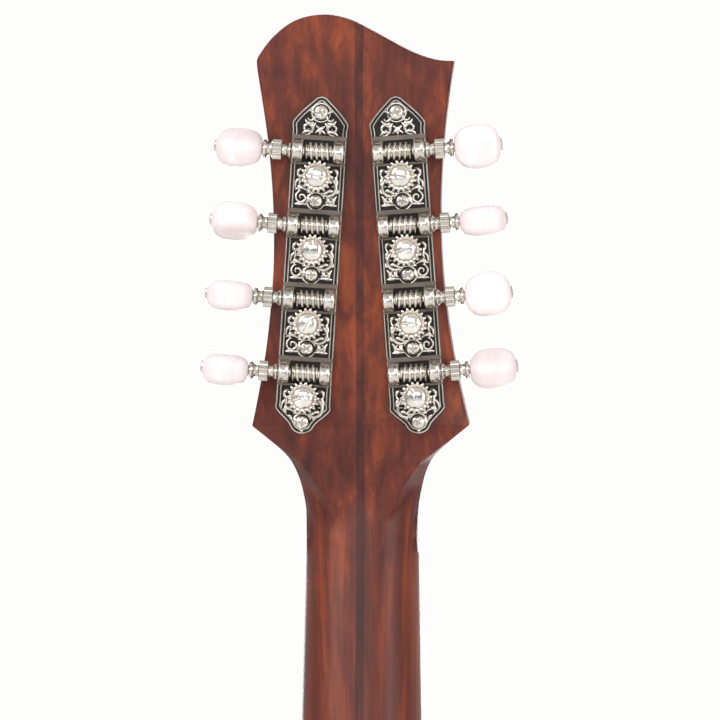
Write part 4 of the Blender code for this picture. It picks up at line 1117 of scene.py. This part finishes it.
def make_tailpiece():
    """The base sheet keeps its shape; its hooks, the cover's shell and the pin are finer."""
    along = (CROWN - HOOK).normalized()
    across = Vector((0, -along.z, along.y))
    cover_node("tailpiece_base", nickel)
    hooks = []
    for side, index, *_ in STRINGS.values():
        x = side * SADDLE_COURSES[index] * HOOK_SPREAD
        run = []
        for step in range(9):
            angle = math.pi * (step / 8 - 0.15)
            rise = across * (0.2 + 1.3 * math.sin(angle)) * MM
            run.append(HOOK + Vector((x, 0, 0)) + rise - along * (2.9 + 1.4 * math.cos(angle)) * MM)
        hooks.append(run)
    wires("string_hooks", hooks, 0.55 * MM, nickel, sides=2)
    place = Matrix.Translation(HOOK) @ Matrix((
        (1, 0, 0, 0), (0, across.y, along.y, 0), (0, across.z, along.z, 0), (0, 0, 0, 1),
    ))
    bm = bmesh.new()
    low = Vector((-16.2 * MM, -1.2 * MM, -68.5 * MM))
    high = Vector((16.2 * MM, 6 * MM, 12 * MM))
    add_box(bm, low, high)
    bmesh.ops.subdivide_edges(bm, edges=bm.edges, cuts=1, use_grid_fill=True)
    opened = [face for face in bm.faces if face.normal.z > 0.5 or face.normal.y < -0.5]
    bmesh.ops.delete(bm, geom=opened, context="FACES")
    cover = make("fine_tailpiece_cover", bm, nickel_bright, "cover", place, ("tailpiece_cover",))
    modified(cover, "BEVEL", width=3.2 * MM, segments=5, limit_method="ANGLE")
    modified(cover, "SOLIDIFY", thickness=0.9 * MM, offset=-1)
    apply_modifiers(cover)
    bm = bmesh.new()
    profile = (
        (0, 3.6), (0.1, 4.6), (0.8, 5.4), (2.4, 5.5), (4, 5), (5.2, 3.9), (6.4, 3.5), (9, 3.5), (12, 3.9),
        (12.2, 3.5), (37, 2.9),
    )
    add_turned(bm, scaled(profile), "Z", 40)
    make("fine_end_pin", bm, ebony_gloss, nodes=("end_pin",))


# Stage, light and camera


def make_stage():
    """A plain pale floor below the instrument."""
    bm = bmesh.new()
    bmesh.ops.create_grid(bm, size=3)
    mesh = bpy.data.meshes.new("floor")
    bm.to_mesh(mesh)
    bm.free()
    floor = bpy.data.objects.new("floor", mesh)
    floor.location = (0, 0, -0.35)
    shader = Shader("pale_floor", 0.7)
    shader.colour((0.86, 0.855, 0.84))
    mesh.materials.append(shader.material)
    bpy.context.scene.collection.objects.link(floor)


def area_light(name, place, target, size, power, colour=(1, 1, 1)):
    """A rectangular lamp that points at a target."""
    light = bpy.data.lights.new(name, "AREA")
    light.shape = "RECTANGLE"
    light.size, light.size_y = size
    light.energy = power
    light.color = colour
    lamp = bpy.data.objects.new(name, light)
    lamp.location = place
    lamp.rotation_euler = (Vector(target) - Vector(place)).to_track_quat("-Z", "Y").to_euler()
    bpy.context.scene.collection.objects.link(lamp)


def make_light():
    """A pale backdrop for the camera and a softer, banded studio for reflections."""
    world = bpy.data.worlds.new("studio")
    bpy.context.scene.world = world
    world.use_nodes = True
    nodes = world.node_tree.nodes
    links = world.node_tree.links
    place = nodes.new("ShaderNodeTexCoord")
    split = nodes.new("ShaderNodeSeparateXYZ")
    links.new(place.outputs["Generated"], split.inputs["Vector"])
    ramp = nodes.new("ShaderNodeValToRGB")
    stops = ((0.2, 0.04), (0.31, 0.09), (0.4, 0.5), (0.7, 0.75))
    while len(ramp.color_ramp.elements) < len(stops):
        ramp.color_ramp.elements.new(0.5)
    for element, (position, level) in zip(ramp.color_ramp.elements, stops):
        element.position = position
        element.color = (level, level, level, 1)
    height = nodes.new("ShaderNodeMath")
    height.operation = "MULTIPLY_ADD"
    height.inputs[1].default_value = 0.5
    height.inputs[2].default_value = 0.5
    links.new(split.outputs["Z"], height.inputs[0])
    links.new(height.outputs[0], ramp.inputs["Fac"])
    path = nodes.new("ShaderNodeLightPath")
    mix = nodes.new("ShaderNodeMix")
    mix.data_type = "RGBA"
    links.new(path.outputs["Is Camera Ray"], mix.inputs[0])
    links.new(ramp.outputs["Color"], mix.inputs[6])
    mix.inputs[7].default_value = (0.985, 0.985, 0.975, 1)
    links.new(mix.outputs[2], nodes["Background"].inputs["Color"])
    nodes["Background"].inputs["Strength"].default_value = 1.0
    target = (0, 0.03, 0.75)
    area_light("key", (1.3, 1.5, 1.5), target, (0.9, 1.2), 26)
    area_light("fill", (-1.6, 1.3, 0.6), target, (0.8, 1.4), 17)
    area_light("low", (0, 2.0, 0.75), target, (1.2, 0.5), 10)
    area_light("front", (0.2, -2.1, 1.5), (0, 0, 0.4), (1.2, 1.2), 34)
    area_light("front_fill", (-0.5, -2.1, 0.1), (0, 0, 0.4), (1, 1.2), 14)


def make_camera():
    """Behind the instrument, square to the headstock's back but for a small turn and pitch."""
    distance = 2.0
    target = HEAD @ Vector((0, HEAD_THICKNESS, 61.7 * MM))
    normal = (HEAD.to_3x3() @ Vector((0, 1, 0))).normalized()
    up = (HEAD.to_3x3() @ Vector((0, 0, 1))).normalized()
    pitch = Matrix.Rotation(math.radians(3.2), 3, "X")
    yaw = Matrix.Rotation(math.radians(2.6), 3, up)
    backward = (yaw @ pitch @ normal).normalized()
    camera = bpy.data.objects.new("camera", bpy.data.cameras.new("camera"))
    camera.data.sensor_width = 36
    camera.data.lens = 36 * distance / 0.2243
    camera.data.clip_start = 0.05
    right = up.cross(backward).normalized()
    true_up = backward.cross(right)
    roll = Matrix.Rotation(math.radians(-0.24), 3, backward)
    axes = Matrix((roll @ right, roll @ true_up, backward)).transposed()
    camera.matrix_world = Matrix.Translation(target + backward * distance) @ axes.to_4x4()
    bpy.context.scene.collection.objects.link(camera)
    bpy.context.scene.camera = camera
    bpy.context.scene.view_settings.view_transform = "Standard"


stained = stained_wood(
    "stained_neck_wood", (0.045, 0.008, 0.005), (0.125, 0.021, 0.009), (0.27, 0.05, 0.012), 0.42
)
maple = stained_wood(
    "stained_body_maple", (0.06, 0.01, 0.005), (0.17, 0.03, 0.01), (0.34, 0.075, 0.016), 0.33, 0.45, 0.2
)
dark_strip = stained_wood(
    "dark_strip", (0.018, 0.004, 0.004), (0.06, 0.01, 0.007), (0.15, 0.026, 0.011), 0.45
)
spruce = spruce_wood("stained_spruce_top", (0.13, 0.035, 0.012), (0.3, 0.1, 0.03))
bare = stained_wood("bare_inner_wood", (0.3, 0.2, 0.11), (0.5, 0.36, 0.2), (0.62, 0.47, 0.28), 0.7, coat=0.0)
ebony = black_wood("ebony_satin", 0.42)
ebony_gloss = black_wood("ebony_polished", 0.28)
nickel = metal("nickel_plate", (0.66, 0.62, 0.56), 0.22)
# nickel darkened to paint shade on the plates' cross-bands by the worms
nickel_painted_shade = metal("nickel_shaded", (0.2, 0.17, 0.145), 0.3)
nickel_bright = metal("nickel_bright", (0.8, 0.77, 0.72), 0.13)
oxide = metal("black_oxide", (0.03, 0.028, 0.027), 0.38)
brass = metal("turned_brass", (0.55, 0.36, 0.16), 0.3)
steel = metal("plain_steel", (0.66, 0.65, 0.63), 0.25)
button_white = plastic("pearly_white", (0.76, 0.68, 0.68), (0.68, 0.59, 0.59), 0.3, 0.12)
cream = plastic("cream_plastic", (0.76, 0.68, 0.5), (0.7, 0.6, 0.42), 0.35)
bone = plastic("polished_bone", (0.82, 0.78, 0.68), (0.74, 0.69, 0.57), 0.38)
pearl = plastic("pearl_dot", (0.85, 0.85, 0.82), (0.6, 0.64, 0.62), 0.2)

make_camera()
make_light()
make_stage()
outline = head_outline()
make_neck(outline)
make_head_front(outline)
for plate_name, plate_side in (("tuner_plate_bass", BASS), ("tuner_plate_treble", TREBLE)):
    make_plate(plate_name, plate_side)
for tuner_note in STRINGS:
    make_worm_shaft(tuner_note)
    make_button(tuner_note)
    make_post(tuner_note)
make_body()
make_board()
make_strings()
make_bridge()
make_tailpiece()
for node_name in ("neck_block", "tail_block", "tone_bar_bass", "tone_bar_treble"):
    cover_node(node_name, bare)
cover_node("truss_rod", steel)
cover_node("truss_rod_nut", brass)
